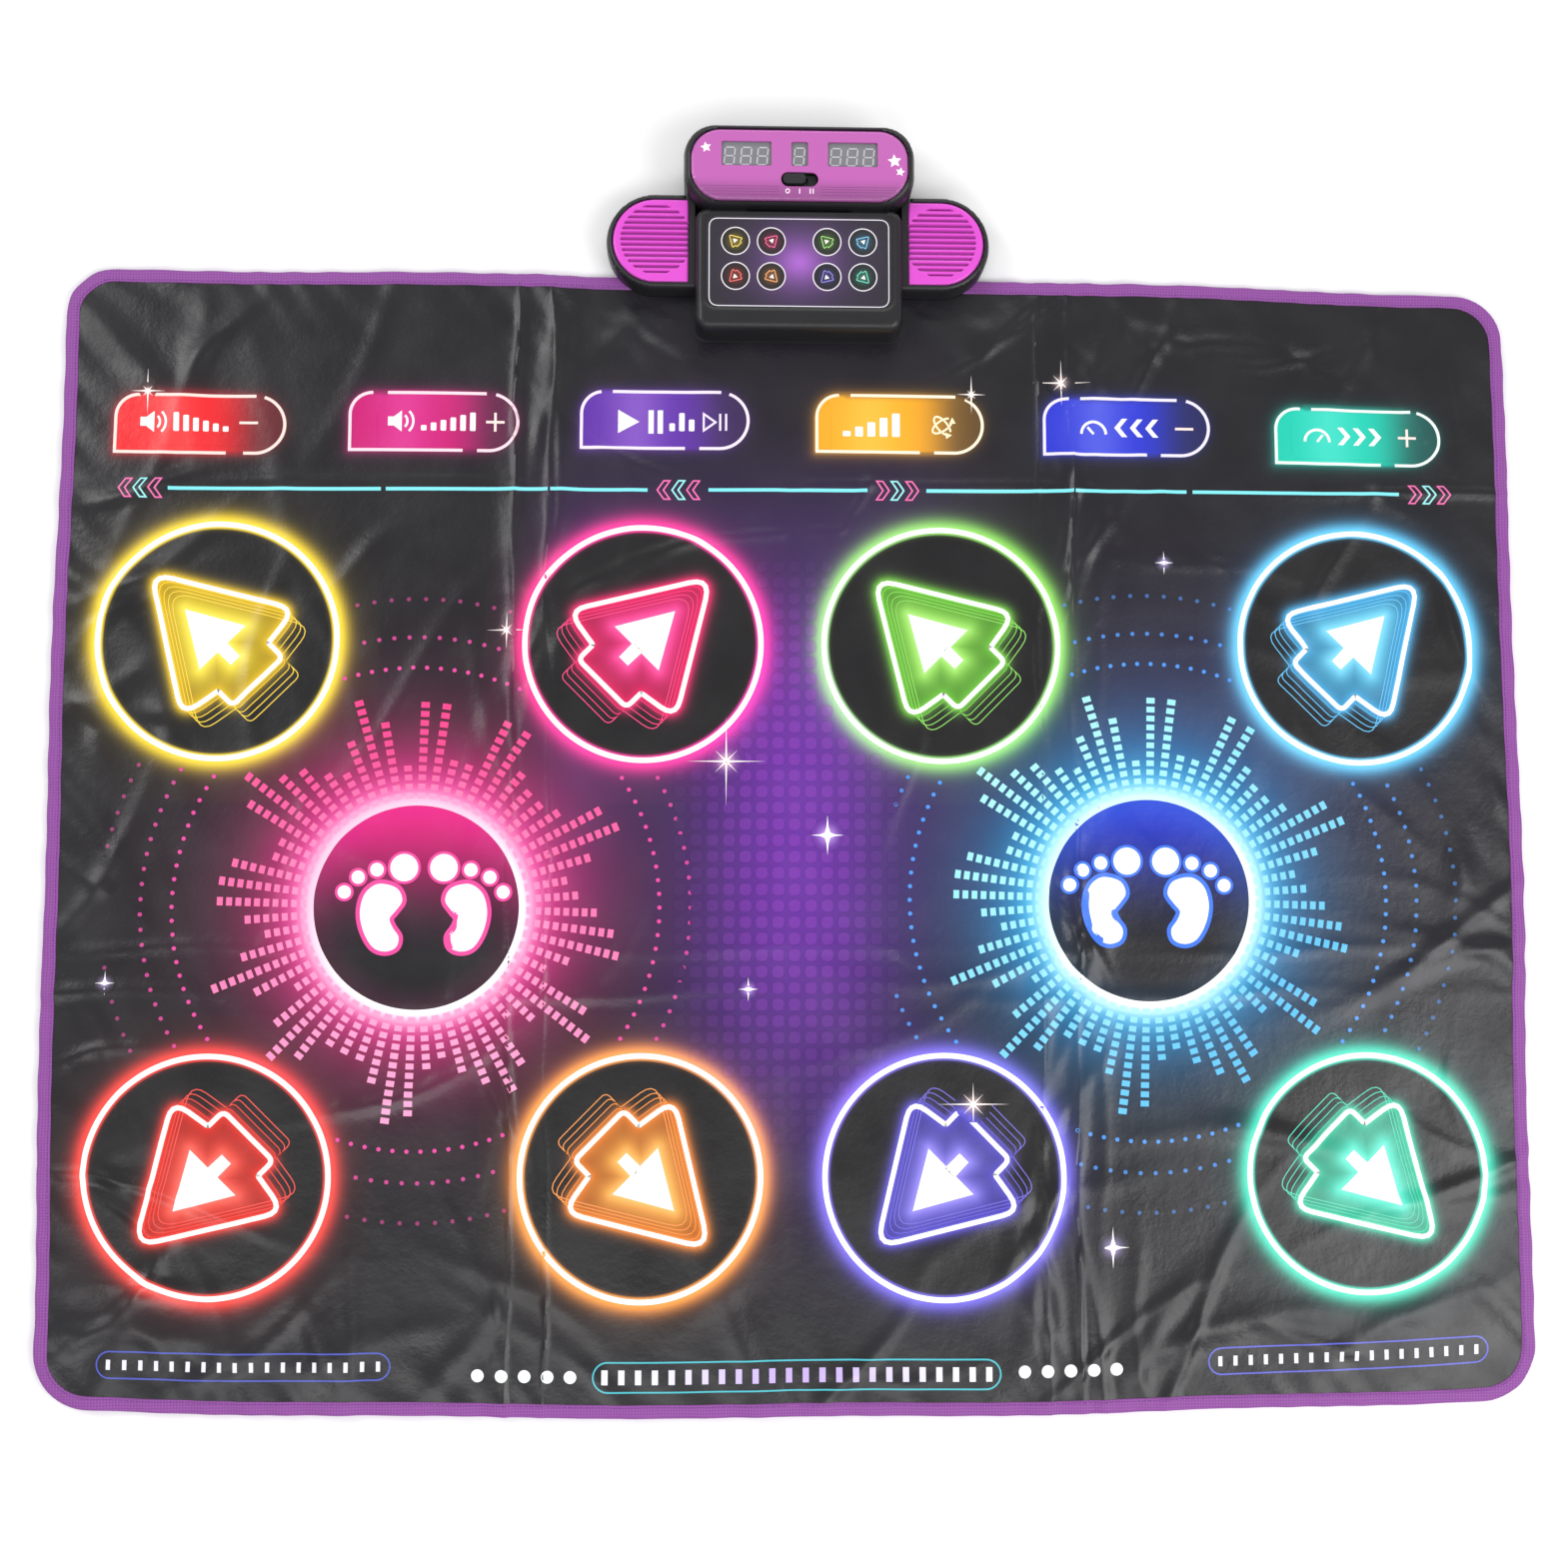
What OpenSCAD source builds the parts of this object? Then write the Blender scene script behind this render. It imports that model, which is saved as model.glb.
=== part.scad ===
// Dance rhythm machine: a folding floor mat with eight dance pads and six function
// pads, and a controller with displays, lit icons and two loudspeakers at its far edge.
// Millimetres. +X right, +Y from the dancer towards the controller, +Z up, floor at z = 0.

/* [Mat] */
// Mat length from left edge to right edge
mat_length = 1100; // [900:10:1400]
// Mat width from near edge to far edge
mat_width = 850; // [700:10:1100]
// Radius of the mat's corners
mat_corner_r = 38; // [15:1:80]
// Thickness of the non-slip bottom sheet
base_sheet_t = 0.8; // [0.5:0.1:2]
// Thickness of each printed contact film
film_t = 0.3; // [0.2:0.1:0.5]
// Thickness of the foam spacer
foam_t = 2.7; // [2.4:0.1:8]
// Thickness of the printed top sheet
top_sheet_t = 1.2; // [0.6:0.1:2.5]
// Width of the binding seen on the top face
binding_w = 10; // [6:0.5:18]
// Thickness of the binding tape
binding_t = 0.8; // [0.5:0.1:1.5]
// Distance from an inner dance pad to the fold line beside it
fold_margin = 5.5; // [5:0.5:12]

/* [Dance pads] */
// Radius of the part of a dance pad that gives underfoot
pad_r = 86; // [60:1:90]
// Distance of the outer pads' centres from the mat's ends
pad_end = 122; // [105:1:150]
// Distance of the inner pads' centres from the middle
pad_inner_x = 112; // [100:1:125]
// Distance of the far row of pads from the mat's far edge
pad_far_setback = 283; // [240:1:310]
// Distance of the near row of pads from the mat's near edge
pad_near_setback = 171; // [120:1:200]

/* [Function pads] */
// Length of a function pad
key_w = 104; // [80:1:112]
// Depth of a function pad
key_h = 40; // [28:1:48]
// Gap between an end function pad and the mat's end
key_end_gap = 56.5; // [50:0.5:70]
// Gap between a function pad and the fold line beside it
key_fold_gap = 7; // [4:0.5:12]
// Distance of the two middle function pads from their middle
key_inner_x = 88; // [75:0.5:95]
// Sideways offset of the row of function pads
key_row_x = -6.5; // [-10:0.5:10]
// Distance of the function pads from the mat's far edge
key_setback = 115; // [95:1:130]

/* [Controller] */
// Distance the controller stands out beyond the mat's far edge
overhang = 107; // [90:1:140]
// Sideways offset of the controller from the mat's middle
console_x = 4; // [-20:1:20]
// Width of the control box
box_w = 157; // [140:1:190]
// Depth of the control box
box_d = 95; // [92:1:110]
// Height of the control box
box_h = 35.5; // [33:0.5:50]
// Width of the display head
head_w = 174; // [150:1:200]
// Depth of the display head
head_d = 62; // [58:1:70]
// Height of the display head
head_h = 45.5; // [43:0.5:60]
// Corner radius of the display head
head_r = 24; // [12:1:28]
// Radius of the rounded end of a speaker pod
pod_r = 37; // [33:0.5:44]
// Height of a speaker pod's rim
pod_h = 25.5; // [24:0.5:32]
// Wall thickness of the mouldings
wall = 2.2; // [1.6:0.1:3]
// Radius of a lit icon
icon_r = 11; // [8:0.5:12]
// Spacing of the icons within each pair
icon_pitch_x = 27; // [25:0.5:30]
// Distance between the two icon rows
icon_pitch_y = 27; // [25:0.5:30]
// Distance of the inner icons from the controller's middle
icon_inner_x = 21; // [14:0.5:24]
// Length of the wide display windows
display_w = 37.6; // [30:0.1:40]
// Depth of a display window
display_h = 19; // [14:0.1:20]
// Distance of the wide displays from the controller's middle
display_x = 40; // [34:0.5:44]

/* [Clearances] */
// Gap between a pad and the sheet around it
pad_gap = 0.3; // [0.2:0.05:0.6]
// Gap between a panel and its fold line
fold_gap = 0.2; // [0.15:0.05:0.4]
// Gap around sliding pieces
slide_gap = 0.3; // [0.2:0.05:0.5]

/* [Hidden] */
$fn = 96;
eps = 0.01;
y_shift = overhang / 2;
far_edge = mat_width / 2;
// heights of the mat's layers
z_film = base_sheet_t;
z_foam = z_film + film_t;
z_sheet = z_foam + foam_t;
z_top = z_sheet + top_sheet_t;
z_binding = z_top + binding_t;
// controller outline
console_rear = far_edge + overhang;
head_front = console_rear - head_d;
head_y = console_rear - head_d / 2;
box_rear = head_front + 1;
box_front = box_rear - box_d;
box_y = box_rear - box_d / 2;
notch_gap = 1.5;
tongue_w = 140;
tongue_len = 22;
clamp_screw_x = [-60, -32, 32, 60];
// controller heights
foot_t = 1;
z_base_top = z_sheet - film_t;
z_part = z_top + 0.4;
z_pod = z_binding + 0.4;
z_ceiling = box_h - wall;
film_sink = 0.8;
pod_wall_x = box_w / 2;
pod_y = box_rear - 24;
pod_len = 67;
speaker_x = -pod_wall_x - pod_len + pod_r;
speaker_r = pod_len - pod_r - wall - 1.8;
grille_t = 3;
z_grille = pod_h - 2;
// battery bay
cell_r = 7.25;
cell_len = 50.5;
cell_pitch = 15;
bay_front = box_front + 28;
bay_w = 62;
bay_len = 56;
z_bay_floor = 4.7;
z_cell = 3.1 + cell_r;
door_t = 0.8;
door_w = 63.4;
door_len = 62;
door_flange = 3;
// circuit boards
board_t = 1.6;
z_board = 22;
z_display_top = head_h - 2.6;
z_display_board = z_display_top - 8 - board_t;
display_y = console_rear - 23.5;
slot_y = console_rear - 43;
slot_w = 28;
slot_h = 10.6;
bend_y = console_rear - 45;
bend_drop = 5.5;
knob_w = 17;
knob_rest = -4;
icon_y = box_y + 7;
screw_r = 1.5;
small_screw_r = 1;

fold = pad_inner_x + pad_r + fold_margin;
pad_outer_x = mat_length / 2 - pad_end;
pad_far_y = far_edge - pad_far_setback;
pad_near_y = far_edge - pad_near_setback;
pads = [[-pad_outer_x, pad_far_y], [-pad_inner_x, pad_far_y], [pad_inner_x, pad_far_y], [pad_outer_x, pad_far_y],
        [-pad_outer_x, -pad_near_y], [-pad_inner_x, -pad_near_y], [pad_inner_x, -pad_near_y], [pad_outer_x, -pad_near_y]];
key_end_x = mat_length / 2 - key_end_gap - key_w / 2;
key_fold_x = fold + key_fold_gap + key_w / 2;
keys = [for (x = [key_row_x - key_end_x, -key_fold_x, key_row_x - key_inner_x, key_row_x + key_inner_x, key_fold_x, key_row_x + key_end_x]) [x, far_edge - key_setback]];

// ---- shared shapes ----

// rectangle with round corners, centred
module round_rect(w, d, r) {
    square([w - 2 * r, d], center = true);
    square([w, d - 2 * r], center = true);
    for (x = [-1, 1], y = [-1, 1]) translate([x * (w / 2 - r), y * (d / 2 - r)]) circle(r);
}

module slab(z0, z1) {
    translate([0, 0, z0]) linear_extrude(z1 - z0) children();
}

module mat_outline(inset) {
    round_rect(mat_length - 2 * inset, mat_width - 2 * inset, mat_corner_r - inset);
}

// the strip of the mat that belongs to one panel
module panel_band(panel) {
    big = 2 * mat_length;
    if (panel == "left") translate([-fold - fold_gap - big, -big / 2]) square([big, big]);
    if (panel == "right") translate([fold + fold_gap, -big / 2]) square([big, big]);
    if (panel == "centre") translate([fold_gap - fold, -big / 2]) square([2 * (fold - fold_gap), big]);
}

// the place cut out of the mat for the controller
module notch() {
    translate([console_x - box_w / 2 - notch_gap, box_front - notch_gap]) square([box_w + 2 * notch_gap, mat_width]);
}

// the tongue of the top sheet that the controller clamps
module tongue() {
    translate([console_x - tongue_w / 2, box_front - notch_gap - 5]) square([tongue_w, notch_gap + 5 + tongue_len]);
}

// function pad: one round end, one round corner
module key_shape(grow = 0) {
    h = key_h / 2 + grow;
    w = key_w / 2;
    translate([w - key_h / 2, 0]) circle(h);
    translate([-w - grow, -h]) square([key_w + grow - key_h / 2, h]);
    translate([-w + 12, 0]) square([key_w - key_h / 2 - 12, h]);
    translate([-w - grow, 0]) square([12 + grow, key_h / 2 - 12]);
    translate([-w + 12, key_h / 2 - 12]) circle(12 + grow);
}

module pad_holes(grow) {
    for (p = pads) translate(p) circle(pad_r + grow);
    for (k = keys) translate(k) key_shape(grow);
}

module mat_place() {
    translate([0, -y_shift, 0]) children();
}

module console_place() {
    translate([console_x, -y_shift, 0]) children();
}

// ---- mat ----

module base_sheet(panel) {
    mat_place() slab(0, base_sheet_t) difference() {
        intersection() {
            mat_outline(binding_w + 0.3);
            panel_band(panel);
        }
        notch();
    }
}

module lower_film(panel) {
    mat_place() slab(z_film, z_foam) difference() {
        intersection() {
            mat_outline(binding_t + 0.2);
            panel_band(panel);
        }
        notch();
    }
}

module foam(panel) {
    mat_place() slab(z_foam, z_sheet) difference() {
        intersection() {
            mat_outline(binding_t + 0.2);
            panel_band(panel);
        }
        notch();
        pad_holes(pad_gap + 1.2);
    }
}

module top_sheet(panel) {
    mat_place() slab(z_sheet, z_top) difference() {
        union() {
            difference() {
                intersection() {
                    mat_outline(binding_t + 0.2);
                    panel_band(panel);
                }
                notch();
            }
            if (panel == "centre") tongue();
        }
        pad_holes(pad_gap);
        if (panel == "centre") for (x = clamp_screw_x) translate([console_x + x, box_front + 10]) circle(screw_r + 0.2);
    }
}

module binding(panel) {
    mat_place() difference() {
        intersection() {
            slab(0, z_binding) mat_outline(0);
            slab(0, z_binding) panel_band(panel);
        }
        slab(-eps, z_binding + eps) mat_outline(binding_w);
        slab(base_sheet_t, z_top) mat_outline(binding_t);
        slab(-eps, z_binding + eps) notch();
    }
}

// a moving pad: its piece of the printed sheet with the upper contact film under it
module pad(p) {
    mat_place() translate(p) {
        slab(z_sheet, z_top) circle(pad_r);
        slab(z_sheet - film_t, z_sheet) circle(pad_r - 6);
    }
}

module key_pad(p) {
    mat_place() translate(p) {
        slab(z_sheet, z_top) key_shape(0);
        slab(z_sheet - film_t, z_sheet) key_shape(-4);
    }
}

module base_sheet_left() color([0.13, 0.13, 0.14]) base_sheet("left");
module base_sheet_centre() color([0.13, 0.13, 0.14]) base_sheet("centre");
module base_sheet_right() color([0.13, 0.13, 0.14]) base_sheet("right");
module lower_film_left() color([0.75, 0.75, 0.7]) lower_film("left");
module lower_film_centre() color([0.75, 0.75, 0.7]) lower_film("centre");
module lower_film_right() color([0.75, 0.75, 0.7]) lower_film("right");
module foam_left() color([0.85, 0.85, 0.88]) foam("left");
module foam_centre() color([0.85, 0.85, 0.88]) foam("centre");
module foam_right() color([0.85, 0.85, 0.88]) foam("right");
module top_sheet_left() color([0.16, 0.15, 0.18]) top_sheet("left");
module top_sheet_centre() color([0.16, 0.15, 0.18]) top_sheet("centre");
module top_sheet_right() color([0.16, 0.15, 0.18]) top_sheet("right");
module binding_left() color([0.6, 0.3, 0.68]) binding("left");
module binding_centre() color([0.6, 0.3, 0.68]) binding("centre");
module binding_right() color([0.6, 0.3, 0.68]) binding("right");
module dance_pad_1() color([0.95, 0.82, 0.25]) pad(pads[0]);
module dance_pad_2() color([0.9, 0.2, 0.4]) pad(pads[1]);
module dance_pad_3() color([0.5, 0.8, 0.35]) pad(pads[2]);
module dance_pad_4() color([0.35, 0.75, 0.92]) pad(pads[3]);
module dance_pad_5() color([0.92, 0.25, 0.2]) pad(pads[4]);
module dance_pad_6() color([0.95, 0.55, 0.25]) pad(pads[5]);
module dance_pad_7() color([0.4, 0.38, 0.78]) pad(pads[6]);
module dance_pad_8() color([0.25, 0.78, 0.66]) pad(pads[7]);
module function_pad_1() color([0.8, 0.15, 0.2]) key_pad(keys[0]);
module function_pad_2() color([0.75, 0.1, 0.4]) key_pad(keys[1]);
module function_pad_3() color([0.5, 0.2, 0.7]) key_pad(keys[2]);
module function_pad_4() color([0.85, 0.6, 0.15]) key_pad(keys[3]);
module function_pad_5() color([0.2, 0.25, 0.75]) key_pad(keys[4]);
module function_pad_6() color([0.1, 0.65, 0.7]) key_pad(keys[5]);

// ---- joint of mat and controller ----

// flat tail of the contact films, up to the main board's socket
module film_tail() color([0.7, 0.6, 0.35]) console_place() {
    translate([-25, box_front + 0.5, z_base_top]) cube([50, 23, film_t]);
    translate([-25, box_front + 23.2, z_base_top]) cube([50, 0.3, z_board - 3 - z_base_top]);
}

module clamp_bar() color([0.3, 0.3, 0.32]) console_place() difference() {
    translate([-68, box_front + 3.5, z_top]) cube([136, 15, 3]);
    for (x = clamp_screw_x) translate([x, box_front + 10, z_top - eps]) cylinder(h = 4, r = screw_r + 0.2);
}

module clamp_screws() color([0.7, 0.7, 0.72]) console_place()
    for (x = clamp_screw_x) translate([x, box_front + 10, 0]) {
        translate([0, 0, 1.8]) cylinder(h = z_top + 3 - 1.8, r = screw_r);
        translate([0, 0, z_top + 3]) cylinder(h = 1.6, r = 2.8);
    }

// ---- controller case ----

module box_plan(inset = 0) {
    translate([0, box_y]) round_rect(box_w - 2 * inset, box_d - 2 * inset, 10 - inset);
}

module head_plan(inset = 0) {
    translate([0, head_y]) round_rect(head_w - 2 * inset, head_d - 2 * inset, head_r - inset);
}

module console_plan(inset = 0) {
    box_plan(inset);
    head_plan(inset);
    translate([-50, box_rear - 12]) square([100, 24]);
}

case_screw_spots = [for (x = [-1, 1], y = [box_front + 27, box_rear - 8, console_rear - 20]) [x * (y > head_front ? head_w / 2 - 9 : box_w / 2 - 7), y]];

module base_shell() color([0.1, 0.1, 0.11]) console_place() difference() {
    union() {
        slab(foot_t, z_base_top) console_plan();
        difference() {
            slab(z_base_top - eps, z_part) console_plan();
            slab(z_base_top - eps, z_part + eps) {
                box_plan(wall);
                head_plan(wall);
                translate([-50, box_rear - 14]) square([100, 28]);
            }
            translate([-tongue_w / 2 - 0.5, box_front - 1, z_base_top]) cube([tongue_w + 1, 2 * wall, 4]);
        }
        // raised floor over the battery door's channel
        translate([-bay_w / 2 - 8, bay_front - 4, foot_t]) cube([bay_w + 16, console_rear - 0.5 - bay_front + 4, z_bay_floor - foot_t]);
        for (p = case_screw_spots) translate([p[0], p[1], foot_t]) cylinder(h = z_part - foot_t, r = 4.5);
    }
    // battery opening
    translate([-bay_w / 2 + 0.2, bay_front, 0]) cube([bay_w - 0.4, bay_len, 8]);
    // channel for the door, open at the rear
    translate([-door_w / 2 - slide_gap, bay_front - 2 - slide_gap, 0]) cube([door_w + 2 * slide_gap, console_rear, 1.8 + eps]);
    translate([-door_w / 2 - door_flange - slide_gap, bay_front - 2 - slide_gap, 1.8]) cube([door_w + 2 * door_flange + 2 * slide_gap, console_rear, 1.4]);
    for (p = case_screw_spots) translate([p[0], p[1], 0]) {
        cylinder(h = 8, r = screw_r + 0.2);
        cylinder(h = 3.1, r = 3.3);
    }
    for (x = clamp_screw_x) translate([x, box_front + 10, 1.8]) cylinder(h = 4, r = screw_r);
    for (p = foot_spots) translate([p[0], p[1], 0]) cylinder(h = 1.8, r = 5.2);
}

foot_spots = [[-55, box_front + 16], [55, box_front + 16], [-60, head_y + 2], [60, head_y + 2]];

module rubber_feet() color([0.2, 0.2, 0.2]) console_place()
    for (p = foot_spots) translate([p[0], p[1], 0]) cylinder(h = 1.8, r = 5);

// the display head seen from the side, raised by a given amount
module head_profile(drop) {
    z = head_h - drop;
    polygon([[console_rear - head_d - 5, 0], [console_rear + 1, 0], [console_rear + 1, z - 9], [console_rear - 4, z - 1.5], [console_rear - 8, z],
             [bend_y, z], [console_rear - head_d - 5, z - bend_drop * (head_d + 5 - 45) / 14]]);
}

module along_x(w) {
    rotate([90, 0, 90]) translate([0, 0, -w / 2]) linear_extrude(w) children();
}

module head_solid(inset, drop, z0) {
    intersection() {
        slab(z0, head_h + 5) head_plan(inset);
        along_x(head_w + 10) head_profile(drop);
    }
}

module fascia_plan(gap = 0) {
    translate([0, head_y + 0.5]) round_rect(head_w - 11 + 2 * gap, head_d - 7.5 + 2 * gap, head_r - 2 + gap);
}

module windows(gap) {
    for (x = [-1, 1]) translate([x * display_x, display_y]) square([display_w + 2 * gap, display_h + 2 * gap], center = true);
    translate([0, display_y]) square([12.6 + 2 * gap, display_h + 2 * gap], center = true);
}

module slot_plan(gap) {
    translate([0, slot_y]) round_rect(slot_w + 2 * gap, slot_h + 2 * gap, slot_h / 2 + gap - 0.01);
}

display_post_spots = [for (x = [-65, 65], y = [-13, 6]) [x, display_y + y]];
main_post_spots = [for (x = [-62.5, 62.5], y = [-1, 1]) [x, box_y + y * 22]];

module top_shell() color([0.09, 0.09, 0.1]) console_place() difference() {
    union() {
        difference() {
            union() {
                slab(z_part, box_h) box_plan();
                head_solid(0, 0, z_part);
            }
            slab(z_part - eps, z_ceiling) box_plan(wall);
            head_solid(wall, 2.6 + wall, z_part - eps);
            translate([-50, box_rear - 12, z_part - eps]) cube([100, 24, 22]);
        }
        for (p = case_screw_spots) translate([p[0], p[1], z_part]) cylinder(h = (p[1] > head_front ? head_h - 4 : z_ceiling + 0.5) - z_part, r = 4);
        for (p = display_post_spots) translate([p[0], p[1], z_display_board + board_t]) cylinder(h = 7, r = 3);
        for (p = main_post_spots) translate([p[0], p[1], z_board + board_t]) cylinder(h = z_ceiling - z_board - board_t + 0.5, r = 3);
    }
    // seat of the fascia
    intersection() {
        slab(20, head_h + 6) fascia_plan(0.2);
        difference() {
            slab(0, head_h + 6) translate([0, head_y]) square([2 * head_w, 2 * head_d], center = true);
            along_x(head_w + 20) head_profile(2.5);
        }
    }
    slab(z_part, head_h) windows(0.4);
    slab(z_part + 20, head_h) slot_plan(0.9);
    // seat of the icon film and the icons' openings
    slab(box_h - film_sink, box_h + 1) translate([0, box_y]) round_rect(box_w - 15.6, box_d - 21.6, 8);
    for (p = icons) translate([p[0], p[1], z_ceiling - 1]) cylinder(h = 4, r = icon_r + 0.2);
    for (p = case_screw_spots) translate([p[0], p[1], z_part - eps]) cylinder(h = 12, r = screw_r);
    for (p = display_post_spots) translate([p[0], p[1], z_display_board + board_t - eps]) cylinder(h = 5, r = small_screw_r);
    for (p = main_post_spots) translate([p[0], p[1], z_board + board_t - eps]) cylinder(h = 5, r = small_screw_r);
    // wire holes
    for (y = [-2, 2]) translate([-box_w / 2 - 1, pod_y + y, 21.2]) rotate([0, 90, 0]) cylinder(h = box_w + 2, r = 1.2);
}

icons = [for (x = [-icon_inner_x - icon_pitch_x, -icon_inner_x, icon_inner_x, icon_inner_x + icon_pitch_x], y = [-0.5, 0.5]) [x, icon_y + y * icon_pitch_y]];

module case_screws() color([0.7, 0.7, 0.72]) console_place()
    for (p = case_screw_spots) translate([p[0], p[1], 0]) {
        translate([0, 0, 3.1]) cylinder(h = 12, r = screw_r);
        translate([0, 0, 1.4]) cylinder(h = 1.7, r = 3);
    }

// ---- display head ----

module fascia() color([0.82, 0.45, 0.76]) console_place() difference() {
    intersection() {
        slab(20, head_h + 1) fascia_plan(0);
        difference() {
            along_x(head_w + 4) head_profile(0.5);
            along_x(head_w + 8) head_profile(2.5);
        }
    }
    slab(20, head_h + 2) windows(0);
    slab(20, head_h + 2) slot_plan(0);
}

module display_modules() color([0.4, 0.4, 0.42]) console_place()
    for (x = [-1:1]) translate([x * display_x, display_y, z_display_top - 4])
        cube([x == 0 ? 12.6 : display_w, display_h, 8], center = true);

module display_board() color([0.1, 0.4, 0.2]) console_place() difference() {
    slab(z_display_board, z_display_board + board_t) translate([0, display_y - 3]) round_rect(138, 38, 8);
    for (p = display_post_spots) translate([p[0], p[1], 0]) cylinder(h = head_h, r = small_screw_r + 0.1);
}

module switch_body() color([0.75, 0.75, 0.72]) console_place() difference() {
    translate([-13, slot_y - 4.5, z_display_board + board_t]) cube([26, 9, 5.4]);
    translate([knob_rest - 2.4, slot_y - 2.4, z_display_board + board_t + 2.4]) cube([4.8 + 8, 4.8, 4]);
}

module switch_knob() color([0.12, 0.12, 0.13]) console_place() {
    translate([knob_rest - 2, slot_y - 2, z_display_board + board_t + 3]) cube([4, 4, 3]);
    slab(z_display_board + board_t + 5.9, head_h + 1) translate([knob_rest, slot_y]) round_rect(knob_w, 7.6, 3.5);
}

// ---- control box ----

module icon_film() color([0.2, 0.18, 0.24]) console_place()
    slab(box_h - film_sink, box_h - 0.3) translate([0, box_y]) round_rect(box_w - 16, box_d - 22, 7.8);

module icon_lenses() color([0.85, 0.85, 0.85]) console_place()
    for (p = icons) translate([p[0], p[1], z_ceiling]) cylinder(h = wall - film_sink, r = icon_r);

module light_reflector() color([0.9, 0.9, 0.88]) console_place() difference() {
    slab(z_board + board_t + 0.4, z_ceiling) translate([0, icon_y]) round_rect(118, 52, 4);
    for (p = icons) translate([p[0], p[1], z_board]) cylinder(h = 20, r = icon_r - 0.8);
}

module icon_leds() color([0.95, 0.9, 0.6]) console_place()
    for (p = icons) translate([p[0], p[1], z_board + board_t]) {
        cylinder(h = 2.4, r = 2.5);
        translate([0, 0, 2.4]) intersection() {
            sphere(2.5);
            cylinder(h = 3, r = 3);
        }
    }

module main_board() color([0.1, 0.35, 0.2]) console_place() {
    difference() {
        slab(z_board, z_board + board_t) translate([0, box_y + 1]) round_rect(132, 60, 3);
        for (p = main_post_spots) translate([p[0], p[1], 0]) cylinder(h = 40, r = small_screw_r + 0.1);
    }
    // processor blob and the socket for the films' tail
    translate([0, bay_front + 45, z_board - 1.6]) cylinder(h = 1.6, r = 6);
    translate([-27, box_front + 21.5, z_board - 3]) cube([54, 3.6, 3]);
}

module board_screws() color([0.72, 0.72, 0.74]) console_place() {
    for (p = display_post_spots) translate([p[0], p[1], z_display_board]) {
        cylinder(h = 5, r = small_screw_r);
        translate([0, 0, -1.4]) cylinder(h = 1.4, r = 2);
    }
    for (p = main_post_spots) translate([p[0], p[1], z_board]) {
        cylinder(h = 5, r = small_screw_r);
        translate([0, 0, -1.4]) cylinder(h = 1.4, r = 2);
    }
}

// ---- speaker pods ----

// D shape: round outer end at left, straight side against the control box
module pod_plan(inset = 0) {
    difference() {
        union() {
            translate([speaker_x, pod_y]) circle(pod_r - inset);
            translate([speaker_x, pod_y - pod_r + inset]) square([-pod_wall_x - inset - speaker_x, 2 * (pod_r - inset)]);
        }
        translate([-pod_wall_x - inset, 0]) square([mat_length, mat_width]);
        head_plan(-inset - 0.1);
    }
}

module pod_housing() difference() {
    slab(z_pod, pod_h) pod_plan();
    slab(z_pod + 2, pod_h + 1) pod_plan(wall);
    for (y = [-2, 2]) translate([-pod_wall_x - wall - 1, pod_y + y, 21.2]) rotate([0, 90, 0]) cylinder(h = wall + 2, r = 1.2);
}

// louvred cover of a speaker
module grille() difference() {
    slab(z_grille, z_grille + grille_t) pod_plan(wall + 0.3);
    intersection() {
        translate([speaker_x, pod_y, z_grille - 1]) cylinder(h = grille_t + 2, r = speaker_r + 0.5);
        for (i = [-5.5:5.5]) translate([speaker_x - pod_r, pod_y + i * 4.4 - 1, z_grille - 1]) cube([2 * pod_r, 2, grille_t + 2]);
    }
}

module left_pod() color([0.09, 0.09, 0.1]) console_place() pod_housing();
module right_pod() color([0.09, 0.09, 0.1]) console_place() mirror([1, 0, 0]) pod_housing();
module left_grille() color([0.9, 0.38, 0.84]) console_place() grille();
module right_grille() color([0.9, 0.38, 0.84]) console_place() mirror([1, 0, 0]) grille();

module both_pods() console_place() {
    translate([speaker_x, pod_y, 0]) children();
    translate([-speaker_x, pod_y, 0]) children();
}

module speaker_magnets() color([0.5, 0.5, 0.52]) both_pods()
    translate([0, 0, z_pod + 2]) cylinder(h = 6.8, r = 13);

module speaker_frames() color([0.35, 0.35, 0.37]) both_pods() difference() {
    union() {
        translate([0, 0, z_pod + 8.8]) cylinder(h = 7.5, r1 = 14.5, r2 = speaker_r - 2);
        translate([0, 0, z_grille - 1]) cylinder(h = 1, r = speaker_r);
    }
    translate([0, 0, z_pod + 9.8]) cylinder(h = 7.5, r1 = 13.9, r2 = speaker_r - 2.6);
    translate([0, 0, z_grille - 1.2]) cylinder(h = 2, r = speaker_r - 4);
}

module speaker_cones() color([0.15, 0.15, 0.16]) both_pods() difference() {
    translate([0, 0, z_pod + 9.8]) cylinder(h = 5.2, r1 = 12, r2 = speaker_r - 5.5);
    translate([0, 0, z_pod + 10.6]) cylinder(h = 6, r1 = 12, r2 = speaker_r - 5);
}

module speaker_wires() color([0.7, 0.15, 0.15]) console_place()
    for (s = [-1, 1], y = [-2, 2]) translate([s * (pod_wall_x + wall + 2), pod_y + y, 21.2]) rotate([0, -s * 90, 0]) cylinder(h = 17.5, r = 0.7);

// ---- batteries ----

module battery_box() color([0.15, 0.15, 0.16]) console_place() difference() {
    translate([-bay_w / 2 - 1.5, bay_front - 1.5, z_bay_floor]) cube([bay_w + 3, bay_len + 3, 12]);
    translate([-bay_w / 2, bay_front, z_bay_floor - 1]) cube([bay_w, bay_len, 14]);
}

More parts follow.
